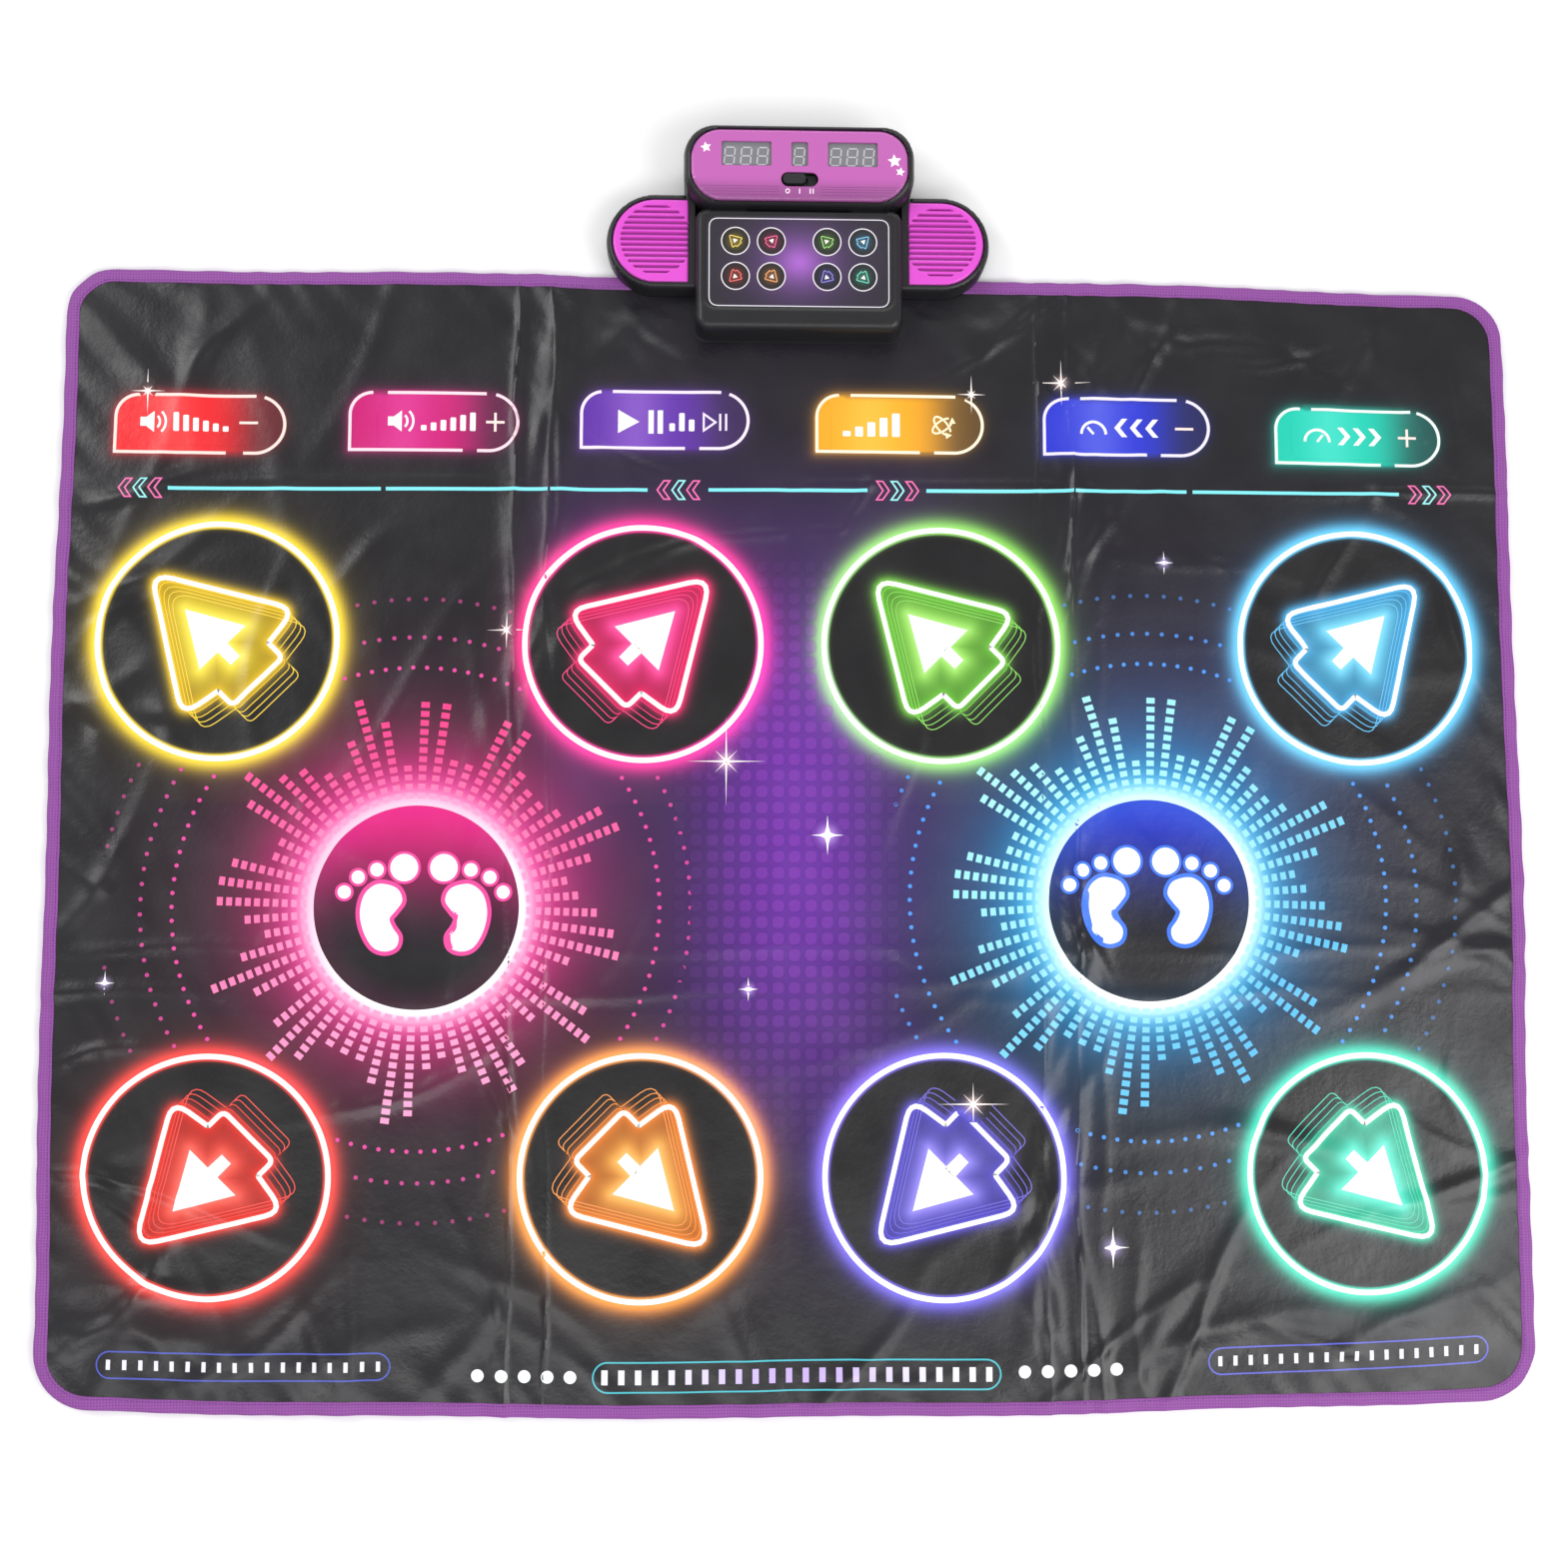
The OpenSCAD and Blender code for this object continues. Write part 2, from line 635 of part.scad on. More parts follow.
module batteries() color([0.8, 0.65, 0.3]) console_place()
    for (i = [-1.5:1.5]) translate([i * cell_pitch, bay_front + 1.2, z_cell]) rotate([-90, 0, 0]) {
        cylinder(h = cell_len - 1.2, r = cell_r - 0.1);
        translate([0, 0, cell_len - 1.2]) cylinder(h = 1.2, r = 2.7);
    }

module battery_contacts() color([0.75, 0.75, 0.76]) console_place()
    for (i = [-1.5:1.5]) translate([i * cell_pitch, 0, z_cell]) {
        translate([-6, bay_front, -5]) cube([12, 0.4, 10]);
        translate([0, bay_front + 0.4, 0]) rotate([-90, 0, 0]) difference() {
            cylinder(h = 0.8, r = 3.5);
            translate([0, 0, -1]) cylinder(h = 4, r = 2.5);
        }
        translate([-6, bay_front + bay_len - 0.4, -5]) cube([12, 0.4, 10]);
        translate([0, bay_front + 1.2 + cell_len, 0]) rotate([-90, 0, 0]) difference() {
            cylinder(h = bay_len - 1.6 - cell_len, r = 3.5);
            translate([0, 0, -1]) cylinder(h = 8, r = 2);
        }
    }

// slides towards the rear in its channel
module battery_door() color([0.12, 0.12, 0.13]) console_place() {
    translate([-door_w / 2, bay_front - 2, 1.3]) cube([door_w, door_len, door_t]);
    translate([-door_w / 2 - door_flange, bay_front - 2, 1.3 + door_t]) cube([door_w + 2 * door_flange, door_len, door_t]);
}

base_sheet_left();
base_sheet_centre();
base_sheet_right();
lower_film_left();
lower_film_centre();
lower_film_right();
foam_left();
foam_centre();
foam_right();
top_sheet_left();
top_sheet_centre();
top_sheet_right();
binding_left();
binding_centre();
binding_right();
dance_pad_1();
dance_pad_2();
dance_pad_3();
dance_pad_4();
dance_pad_5();
dance_pad_6();
dance_pad_7();
dance_pad_8();
function_pad_1();
function_pad_2();
function_pad_3();
function_pad_4();
function_pad_5();
function_pad_6();
film_tail();
clamp_bar();
clamp_screws();
base_shell();
top_shell();
rubber_feet();
case_screws();
fascia();
display_modules();
display_board();
switch_body();
switch_knob();
icon_film();
icon_lenses();
light_reflector();
icon_leds();
main_board();
board_screws();
left_pod();
right_pod();
left_grille();
right_grille();
speaker_magnets();
speaker_frames();
speaker_cones();
speaker_wires();
battery_box();
batteries();
battery_contacts();
battery_door();
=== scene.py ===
from math import radians, pi

import bpy
import numpy as np
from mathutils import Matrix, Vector


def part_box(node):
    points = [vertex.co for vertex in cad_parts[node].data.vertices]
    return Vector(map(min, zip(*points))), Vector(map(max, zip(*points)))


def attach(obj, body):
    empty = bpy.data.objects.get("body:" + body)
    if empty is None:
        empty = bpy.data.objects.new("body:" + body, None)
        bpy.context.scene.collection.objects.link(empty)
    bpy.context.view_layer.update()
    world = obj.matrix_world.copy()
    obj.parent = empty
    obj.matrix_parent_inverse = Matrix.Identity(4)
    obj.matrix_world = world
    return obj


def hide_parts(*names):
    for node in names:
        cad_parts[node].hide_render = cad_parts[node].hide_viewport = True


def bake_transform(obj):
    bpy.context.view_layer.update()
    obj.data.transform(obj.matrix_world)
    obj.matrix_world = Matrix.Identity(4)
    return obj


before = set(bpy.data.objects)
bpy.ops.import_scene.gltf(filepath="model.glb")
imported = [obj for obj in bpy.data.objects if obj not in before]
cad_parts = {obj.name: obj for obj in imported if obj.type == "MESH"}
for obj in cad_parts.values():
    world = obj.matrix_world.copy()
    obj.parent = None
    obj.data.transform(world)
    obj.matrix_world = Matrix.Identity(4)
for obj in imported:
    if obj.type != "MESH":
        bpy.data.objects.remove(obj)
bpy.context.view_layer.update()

mm = 0.001


def boxMm(node):
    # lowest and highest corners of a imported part, in millimetres
    low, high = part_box(node)
    return np.array(low) * 1000, np.array(high) * 1000


matLow, matHigh = boxMm("binding_left")[0], boxMm("binding_right")[1]
mat = {
    "halfLength": (matHigh[0] - matLow[0]) / 2,
    "halfWidth": (matHigh[1] - matLow[1]) / 2,
    "middleY": (matHigh[1] + matLow[1]) / 2,
    "cornerRadius": 38.0,
    "bindingWidth": 10.0,
    "sheetThickness": 0.7,
    "sheetStep": 3.0,      # spacing of the sheet's grid
    "skin": 4.98,          # height of the printed face where it lies level
}
consoleMid = (boxMm("base_shell")[0] + boxMm("base_shell")[1]) / 2

# colours and materials


def srgb(hexText):
    # hex text to red, green and blue from 0 to 1, still as the screen shows them
    return np.array([int(hexText[i:i + 2], 16) for i in (1, 3, 5)]) / 255


def linear(colour):
    # hex text or screen values to linear light, by the standard sRGB curve
    v = srgb(colour) if isinstance(colour, str) else np.clip(colour, 0, 1)
    return np.where(v <= 0.04045, v / 12.92, ((v + 0.055) / 1.055) ** 2.4)


def addNode(tree, kind, inputs=None, **settings):
    # adds a node, sets its properties, then fills each input with a value or a link
    node = tree.nodes.new(kind)
    for key, value in settings.items():
        setattr(node, key, value)
    for key, value in (inputs or {}).items():
        if isinstance(value, bpy.types.NodeSocket):
            tree.links.new(value, node.inputs[key])
        else:
            node.inputs[key].default_value = value
    return node


def newMaterial(name):
    # an empty material with its tree, its shader and the object's own coordinates
    material = bpy.data.materials.new(name)
    material.use_nodes = True
    tree = material.node_tree
    coords = addNode(tree, "ShaderNodeTexCoord").outputs["Object"]
    return material, tree, tree.nodes["Principled BSDF"], coords


def noise(tree, coords, scale, detail, roughness=0.5):
    # cloudy values from 0 to 1; scale is repeats per metre
    inputs = {"Vector": coords, "Scale": scale, "Detail": detail, "Roughness": roughness}
    return addNode(tree, "ShaderNodeTexNoise", inputs).outputs["Fac"]


def stretch(tree, value, low, high, start=0.0, stop=1.0):
    # values from start to stop, stretched to run from low to high
    inputs = {"Value": value, "From Min": start, "From Max": stop, "To Min": low, "To Max": high}
    return addNode(tree, "ShaderNodeMapRange", inputs).outputs["Result"]


def relief(tree, value, strength, depth, under=None):
    # surface tilt from a height value; depth in metres, laid over another relief if there is one
    inputs = {"Height": value, "Strength": strength, "Distance": depth}
    if under is not None:
        inputs["Normal"] = under
    return addNode(tree, "ShaderNodeBump", inputs).outputs["Normal"]


def ramp(tree, value, dark, light, start=0.0, stop=1.0):
    # linear colours that run from dark to light as the value goes from start to stop
    node = addNode(tree, "ShaderNodeValToRGB", {"Fac": value})
    for i, (spot, colour) in enumerate(((start, dark), (stop, light))):
        node.color_ramp.elements[i].position = spot
        node.color_ramp.elements[i].color = (*colour.clip(0, 1), 1)
    return node.outputs["Color"]


def twoTone(tree, value, dark, light):
    # a mix of two linear colours
    node = addNode(tree, "ShaderNodeMix", {"Factor": value}, data_type="RGBA")
    node.inputs[6].default_value = (*dark.clip(0, 1), 1)
    node.inputs[7].default_value = (*light.clip(0, 1), 1)
    return node.outputs[2]


def dress(tree, shader, colour, rough, normal=None):
    # fills the shader's colour, roughness and normal with a value or a link
    for name, value in (("Base Color", colour), ("Roughness", rough), ("Normal", normal)):
        if isinstance(value, bpy.types.NodeSocket):
            tree.links.new(value, shader.inputs[name])
        elif value is not None:
            shader.inputs[name].default_value = value


def plastic(name, hexText, rough, grainMm, strength):
    # moulded thermoplastic: spark-eroded grain breaks the highlight softly, and faint clouds in tone and
    # gloss keep wide faces from looking flat
    material, tree, shader, coords = newMaterial(name)
    clouds = noise(tree, coords, 35.0, 4.0)
    grain = noise(tree, coords, 1000 / grainMm, 3.0)
    base = linear(hexText)
    dress(tree, shader, ramp(tree, clouds, base * 0.94, base * 1.06, 0.3, 0.7),
          stretch(tree, clouds, rough - 0.05, rough + 0.07), relief(tree, grain, strength, 0.0004))
    shader.inputs["IOR"].default_value = 1.5
    return material


def inkedSheet(name, rough):
    # printed plasticised PVC film: soft swells make the highlights wander and a fine orange peel under the
    # gloss blurs their edges; the colour is the print's
    material, tree, shader, coords = newMaterial(name)
    ink = addNode(tree, "ShaderNodeAttribute", attribute_name="ink").outputs["Color"]
    clouds = noise(tree, coords, 22.0, 5.0)
    swell = relief(tree, noise(tree, coords, 85.0, 4.0, 0.6), 0.35, 0.0012)
    peel = relief(tree, noise(tree, coords, 700.0, 2.0), 0.15, 0.0002, swell)
    dress(tree, shader, ink, stretch(tree, clouds, rough - 0.07, rough + 0.09, 0.3, 0.7), peel)
    shader.inputs["IOR"].default_value = 1.5
    return material


def wovenTape(name, hexText, threadMm):
    # polyester tape: crossing threads, painted lighter where they rise as a highlight and darker between as
    # shade, with a cloth's soft sheen; a little coarse so that the weave shows
    material, tree, shader, coords = newMaterial(name)
    inputs = {"Vector": coords, "Scale": 1000 / threadMm / 6.28, "Distortion": 0.6}
    threads = [addNode(tree, "ShaderNodeTexWave", inputs, bands_direction=way).outputs["Fac"] for way in "XY"]
    weave = addNode(tree, "ShaderNodeMath", dict(enumerate(threads)), operation="MULTIPLY").outputs[0]
    base = linear(hexText)
    # painted light: the weave's rises are lightened and its hollows darkened
    tone = twoTone(tree, weave, base * 0.72, base * 1.22)
    dress(tree, shader, tone, 0.62, relief(tree, weave, 0.5, 0.0003))
    shader.inputs["Sheen Weight"].default_value = 0.25
    return material


def platedMetal(name, hexText, rough, grainMm):
    # plated or stamped steel: a bare metal glint, mottled so that it looks handled rather than chromed
    material, tree, shader, coords = newMaterial(name)
    mottle = noise(tree, coords, 1000 / grainMm, 5.0)
    base = linear(hexText)
    dress(tree, shader, ramp(tree, mottle, base * 0.85, base), stretch(tree, mottle, rough, rough + 0.15))
    shader.inputs["Metallic"].default_value = 1.0
    return material


def gripSheet(name, hexText):
    # non-slip backing: black PVC foam pressed with round dots every 4 mm, their tops painted paler as a
    # highlight, and dull all over
    material, tree, shader, coords = newMaterial(name)
    cells = addNode(tree, "ShaderNodeTexVoronoi", {"Vector": coords, "Scale": 250.0, "Randomness": 0.0})
    dots = stretch(tree, cells.outputs["Distance"], 1.0, 0.0, 0.25, 0.4)
    base = linear(hexText)
    # painted highlight: the dots' tops are lightened
    tone = twoTone(tree, dots, base * 0.8, base * 1.5)
    dress(tree, shader, tone, 0.75, relief(tree, dots, 0.6, 0.0006))
    return material


materials = {
    "sheet": inkedSheet("printedPvcFilm", 0.33),                       # satin skin with wandering highlights
    "ink": inkedSheet("screenPrintInk", 0.36),                         # the same skin, a little duller
    "panelInk": inkedSheet("panelFilmInk", 0.35),                      # satin print on the controller
    "pink": inkedSheet("glossPinkAbs", 0.22),                          # bright moulding with a clear gloss
    "grip": gripSheet("pressedGripFoam", "#1d1c1f"),                   # dotted black underside
    "foam": plastic("polyethyleneFoam", "#d8d8dc", 0.85, 2.0, 0.5),    # chalky white with open pores
    "tape": wovenTape("polyesterBindingTape", "#91469f", 1.1),         # purple cloth edge
    "thread": wovenTape("polyesterThread", "#74328a", 0.5),            # darker twisted stitches
    "black": plastic("sparkErodedBlackAbs", "#17171a", 0.38, 0.7, 0.22),     # case black, grainy highlight
    "blackSatin": plastic("satinBlackAbs", "#101013", 0.26, 1.2, 0.10),      # deeper black, smoother
    "knob": plastic("ribbedKnobNylon", "#1b1b1e", 0.45, 0.6, 0.25),          # dull grey-black
    "glass": plastic("smokedDisplayLens", "#7b7b80", 0.12, 3.0, 0.02),       # smooth grey lens
    "rubber": plastic("mouldedRubber", "#1a1a1a", 0.8, 0.5, 0.4),            # matt black feet
    "board": plastic("solderMaskBoard", "#14532c", 0.4, 0.9, 0.2),           # green lacquered board
    "steel": platedMetal("zincPlatedSteel", "#b9bcc2", 0.28, 1.5),           # pale bright metal
    "ferrite": platedMetal("stampedSpeakerSteel", "#85878c", 0.35, 1.0),     # darker pressed metal
    "paper": plastic("pressedPaperCone", "#1c1c1e", 0.9, 0.8, 0.6),          # fibrous black cone
    "white": plastic("whiteReflectorAbs", "#e6e6e2", 0.5, 1.0, 0.1),         # plain white
    "lens": plastic("frostedIconLens", "#dcdce0", 0.5, 0.8, 0.1),            # milky lens
    "lamp": plastic("epoxyLamp", "#e8dfae", 0.2, 1.5, 0.03),                 # warm shiny drop
    "wire": plastic("wireJacketPvc", "#b02020", 0.4, 1.0, 0.05),             # red flexible jacket
    "film": plastic("polyesterContactFilm", "#b8ab84", 0.3, 1.5, 0.05),      # amber film
    "cell": plastic("foilCellJacket", "#b8923a", 0.25, 1.0, 0.05),           # copper-coloured wrap
}

# mesh tools


def makePiece(name, points, tris, material, inks=None, angle=35, quads=None):
    # points in millimetres, row by row; tris and quads index them
    mesh = bpy.data.meshes.new(name)
    points = np.asarray(points, float) * mm
    tris = np.zeros((0, 3), int) if tris is None else np.asarray(tris, int)
    quads = np.zeros((0, 4), int) if quads is None else np.asarray(quads, int)
    loops = np.concatenate([tris.ravel(), quads.ravel()]).astype(np.int32)
    starts = np.concatenate([np.arange(len(tris)) * 3, len(tris) * 3 + np.arange(len(quads)) * 4])
    starts = starts.astype(np.int32)
    mesh.vertices.add(len(points))
    mesh.vertices.foreach_set("co", points.astype(np.float32).ravel())
    mesh.loops.add(len(loops))
    mesh.loops.foreach_set("vertex_index", loops)
    mesh.polygons.add(len(starts))
    mesh.polygons.foreach_set("loop_start", starts)
    mesh.polygons.foreach_set("use_smooth", np.ones(len(starts), bool))
    mesh.update(calc_edges=True)
    mesh.validate()
    if inks is not None:
        layer = mesh.attributes.new("ink", "FLOAT_COLOR", "POINT")
        rgba = np.concatenate([linear(np.asarray(inks, float)), np.ones((len(points), 1))], axis=1)
        layer.data.foreach_set("color", rgba.astype(np.float32).ravel())
    mesh.set_sharp_from_angle(angle=radians(angle))
    mesh.materials.append(material)
    piece = bpy.data.objects.new(name, mesh)
    bpy.context.scene.collection.objects.link(piece)
    return piece


def wallTris(tris, lower):
    # closes a slab: each edge used once gets two triangles down to the lower copy of its points
    a = np.concatenate([tris[:, [0, 1]], tris[:, [1, 2]], tris[:, [2, 0]]]).astype(np.int64)
    count = tris.max() + 1
    edge = a[~np.isin(a[:, 0] * count + a[:, 1], a[:, 1] * count + a[:, 0])]
    i, j = edge[:, 0], edge[:, 1]
    return np.concatenate([np.stack([j, i, i + lower], 1), np.stack([j, i + lower, j + lower], 1)])


def slab(points, tris, thickness):
    # a surface with a lower copy and a wall round every edge; thickness is one number or one per point
    below = points.copy()
    below[:, 2] -= thickness
    n = len(points)
    return np.concatenate([points, below]), np.concatenate([tris, tris[:, ::-1] + n, wallTris(tris, n)])


def tidyTris(x, y, tris):
    # drops slivers and turned faces left by moving grid points onto an edge
    ax, ay = x[tris[:, 1]] - x[tris[:, 0]], y[tris[:, 1]] - y[tris[:, 0]]
    bx, by = x[tris[:, 2]] - x[tris[:, 0]], y[tris[:, 2]] - y[tris[:, 0]]
    return tris[ax * by - ay * bx > 0.12]


def maskGrid(xs, ys, inside):
    # grid of a plane region: inside(x, y) is the distance to its edge, below zero in the region. Points near
    # the edge are moved onto it along the steepest way, then cells with three or four good corners are kept
    x, y = (g.ravel() for g in np.meshgrid(xs, ys))
    step = max(np.diff(xs).max(), np.diff(ys).max())
    for _ in range(2):
        d = inside(x, y)
        gx = (inside(x + 0.05, y) - inside(x - 0.05, y)) / 0.1
        gy = (inside(x, y + 0.05) - inside(x, y - 0.05)) / 0.1
        near = np.abs(d) < 0.62 * step
        x = np.where(near, x - d * gx, x)
        y = np.where(near, y - d * gy, y)
    good = inside(x, y) < 0.03 * step
    ids = np.arange(len(x)).reshape(len(ys), len(xs))
    a, b, c, e = (v.ravel() for v in (ids[:-1, :-1], ids[:-1, 1:], ids[1:, 1:], ids[1:, :-1]))
    ga, gb, gc, ge = good[a], good[b], good[c], good[e]
    whole = ga & gb & gc & ge
    tris = [np.stack([a, b, c], 1)[whole], np.stack([a, c, e], 1)[whole]]
    for p, q, r, out in ((a, b, c, ge), (b, c, e, ga), (c, e, a, gb), (e, a, b, gc)):
        three = good[p] & good[q] & good[r] & ~out
        tris.append(np.stack([p, q, r], 1)[three])
    tris = np.concatenate(tris)
    used, back = np.unique(tris, return_inverse=True)
    x, y = x[used], y[used]
    return x, y, tidyTris(x, y, back.reshape(-1, 3))


def ringGrid(outline, rings, centre=None):
    # a filled star-shaped outline: rings shrink evenly from it to its centre
    outline = np.asarray(outline, float)
    centre = outline.mean(0) if centre is None else np.asarray(centre, float)
    t = np.linspace(1, 0, rings + 1)[:-1, None, None]
    pts = (centre + t * (outline[None] - centre)).reshape(-1, 2)
    n = len(outline)
    i = np.arange(n)
    j = (i + 1) % n
    tris = []
    for k in range(rings - 1):
        o, p = k * n, (k + 1) * n
        tris += [np.stack([o + i, o + j, p + j], 1), np.stack([o + i, p + j, p + i], 1)]
    last = (rings - 1) * n
    tris.append(np.stack([last + i, last + j, np.full(n, len(pts))], 1))
    return np.concatenate([pts, centre[None]]), np.concatenate(tris)


def densify(path, step, closed=False):
    # points along a broken line at most one step apart
    path = np.asarray(path, float)
    ends = np.roll(path, -1, 0) if closed else path[1:]
    starts = path if closed else path[:-1]
    pieces = []
    for p, q in zip(starts, ends):
        k = max(1, int(np.ceil(np.linalg.norm(q - p) / step)))
        pieces.append(p + (q - p) * np.linspace(0, 1, k, endpoint=False)[:, None])
    if not closed:
        pieces.append(path[-1:])
    return np.concatenate(pieces)


def stripAlong(path, width, closed=False):
    # a flat band along a path: each point steps half the width to both sides of the mean direction
    path = np.asarray(path, float)
    if closed:
        before, after = np.roll(path, 1, 0), np.roll(path, -1, 0)
    else:
        before, after = np.vstack([path[:1], path[:-1]]), np.vstack([path[1:], path[-1:]])
    d1 = path - before
    d2 = after - path
    if not closed:
        d1[0], d2[-1] = d2[0], d1[-1]
    d1 /= np.maximum(np.linalg.norm(d1, axis=1), 1e-9)[:, None]
    d2 /= np.maximum(np.linalg.norm(d2, axis=1), 1e-9)[:, None]
    side = np.stack([-(d1 + d2)[:, 1], (d1 + d2)[:, 0]], 1)
    side /= np.maximum(np.linalg.norm(side, axis=1), 1e-9)[:, None]
    mitre = 1 / np.maximum((side * np.stack([-d1[:, 1], d1[:, 0]], 1)).sum(1), 0.5)
    half = side * (width / 2 * mitre)[:, None]
    pts = np.concatenate([path - half, path + half])
    n = len(path)
    i = np.arange(n if closed else n - 1)
    j = (i + 1) % n
    return pts, np.concatenate([np.stack([i, j, j + n], 1), np.stack([i, j + n, i + n], 1)])


def circlePath(cx, cy, r, n=48, start=0.0, stop=2 * pi, closed=True):
    # points round a circle or along a part of it
    t = np.linspace(start, stop, n, endpoint=not closed)
    return np.stack([cx + r * np.cos(t), cy + r * np.sin(t)], 1)


def roundCorners(poly, radii, n=6):
    # replaces each corner with an arc that touches both sides
    poly = np.asarray(poly, float)
    radii = np.broadcast_to(radii, len(poly))
    out = []
    for k, p in enumerate(poly):
        a, b = poly[k - 1] - p, poly[(k + 1) % len(poly)] - p
        a, b = a / np.linalg.norm(a), b / np.linalg.norm(b)
        half = np.arccos(np.clip(a @ b, -1, 1)) / 2
        reach = radii[k] / np.tan(half)
        if radii[k] <= 0:
            out.append(p[None])
            continue
        t = np.linspace(0, 1, n)[:, None]
        s, m, e = p + a * reach, p, p + b * reach
        out.append((1 - t) ** 2 * s + 2 * t * (1 - t) * m + t ** 2 * e)
    return np.concatenate(out)


def polyDistance(poly, x, y):
    # signed distance to a closed polygon, below zero inside
    poly = np.asarray(poly, float)
    best = np.full(x.shape, 1e9)
    inside = np.zeros(x.shape, bool)
    for p, q in zip(poly, np.roll(poly, -1, 0)):
        ex, ey = q - p
        t = np.clip(((x - p[0]) * ex + (y - p[1]) * ey) / max(ex * ex + ey * ey, 1e-9), 0, 1)
        best = np.minimum(best, (x - p[0] - t * ex) ** 2 + (y - p[1] - t * ey) ** 2)
        if ey != 0:
            crosses = (p[1] > y) != (q[1] > y)
            inside ^= crosses & (x < p[0] + (y - p[1]) * ex / ey)
    return np.where(inside, -1, 1) * np.sqrt(best)


def roundBox(x, y, cx, cy, halfW, halfD, r):
    # signed distance to a rectangle with round corners
    qx = np.abs(x - cx) - halfW + r
    qy = np.abs(y - cy) - halfD + r
    return np.hypot(np.maximum(qx, 0), np.maximum(qy, 0)) + np.minimum(np.maximum(qx, qy), 0) - r


def smoothStep(v, a, b):
    # 0 below a, 1 above b, and a cubic with level ends between
    t = np.clip((v - a) / (b - a), 0, 1)
    return t * t * (3 - 2 * t)


# the mat's outline, wrinkles and warp, all in millimetres from the mat's middle

consoleX = consoleMid[0]
consoleFront = boxMm("top_shell")[0][1] - mat["middleY"]
notch = {"halfWidth": 79.0, "gap": 0.5, "corner": 10.0, "tongueHalf": 70.0, "tongueLength": 22.0}

creases = {
    # fold lines pressed in by storage: place, height, half width, wobble
    "upright": [(-209.0, 3.3, 2.7, 1.6), (-183.0, 2.4, 2.6, 2.0), (187.0, 2.2, 2.6, 1.8),
                (212.0, 3.1, 2.7, 1.8), (231.0, 1.3, 4.0, 2.4), (-6.0, 0.3, 7.0, 2.0)],
    "level": [(263.0, 1.7, 4.4, 2.4), (-88.0, 1.0, 5.0, 3.0), (-121.0, 1.6, 5.2, 3.6)],
    # loose wrinkles: count, shortest and longest length, height, half width
    "wrinkles": (190, 45.0, 180.0, 2.2, 6.6),
    "seed": 7,
    "edgeWave": 1.0,
}
rng = np.random.default_rng(creases["seed"])


def drawWrinkles():
    # wrinkles start near the edges or the fold lines more often than in the open field
    count, shortest, longest, high, half = creases["wrinkles"]
    kind = rng.random(count)
    u, v = rng.uniform(-1, 1, count), rng.uniform(-1, 1, count)
    x, y = u * 520, v * 395
    x = np.where(kind < 0.3, np.sign(u) * 205 + v * 24, x)
    y = np.where((kind >= 0.3) & (kind < 0.55), np.sign(v) * (400 - np.abs(u) * 40), y)
    x = np.where((kind >= 0.55) & (kind < 0.7), np.sign(u) * (520 - np.abs(v) * 50), x)
    turn = rng.uniform(0, pi, count)
    turn = np.where(kind < 0.3, pi / 2 + rng.uniform(-0.5, 0.5, count), turn)
    size = rng.uniform(0.35, 1, count)
    length = rng.uniform(shortest, longest, count)
    width = half * rng.uniform(0.6, 1.7, count)
    phase = rng.uniform(0, 2 * pi, count)
    return np.stack([x, y, turn, length, high * size, width, phase], 1)


wrinkleTable = drawWrinkles()


def consoleReach(x, y):
    # distance to the ground that the controller covers: the smaller of those to its box and its pods
    box = roundBox(x, y, consoleX, consoleFront + 75, 79, 75, 4)
    return np.minimum(box, roundBox(x, y, consoleX, 447, 146, 38, 30))


def height(x, y):
    # top of the printed sheet: broad swells from crossed sines; upright fold lines as sharp crests and level
    # ones as bell-shaped ridges, which wander and come and go along their length; loose wrinkles as short
    # bell-shaped ridges; small waves at the edges. It dips 0.2 mm at most and lies flat by the controller
    z = 0.45 + 0.55 * np.sin(x / 61 + 0.8 * np.sin(y / 83)) * np.sin(y / 74 + 1.1)
    z = z + 0.35 * np.sin((x + y) / 37 + 1.7)
    z += 0.22 * np.sin(x / 19 + 2 * np.sin(y / 41)) * np.sin(y / 23 + np.sin(x / 52))
    for i, (at, high, half, wobble) in enumerate(creases["upright"]):
        line = at + wobble * np.sin(y / 57 + i) + 0.5 * wobble * np.sin(y / 19 + 2 * i)
        z += high * (0.7 + 0.3 * np.sin(y / 43 + 3 * i)) * np.exp(-np.abs(x - line) / half)
    for i, (at, high, half, wobble) in enumerate(creases["level"]):
        line = at + wobble * np.sin(x / 71 + i) + 0.4 * wobble * np.sin(x / 23 + 2 * i)
        z += high * (0.55 + 0.45 * np.sin(x / 67 + 2 * i)) * np.exp(-((y - line) / half) ** 2)
    for wx, wy, turn, length, high, half, phase in wrinkleTable:
        m = np.hypot(x - wx, y - wy) < 1.25 * length
        dx, dy = x[m] - wx, y[m] - wy
        along = dx * np.cos(turn) + dy * np.sin(turn)
        across = dy * np.cos(turn) - dx * np.sin(turn) + 0.09 * length * np.sin(3 * along / length + phase)
        z[m] += high * np.exp(-(across / half) ** 2 - (1.7 * along / length) ** 2)
    rim = -roundBox(x, y, 0, 0, mat["halfLength"], mat["halfWidth"], mat["cornerRadius"])
    ripple = np.sin(x / 5.7 + y / 6.3 + 2 * np.sin(x / 31))
    z += creases["edgeWave"] * np.exp(-np.maximum(rim, 0) / 20) * ripple
    z = np.where(z > 0, z, 0.2 * np.tanh(z / 0.2))
    flat = smoothStep(consoleReach(x, y), 2, 26)
    calm = 0.35 + 0.65 * smoothStep(np.abs(x), 0, 14)
    return mat["skin"] + z * flat * calm


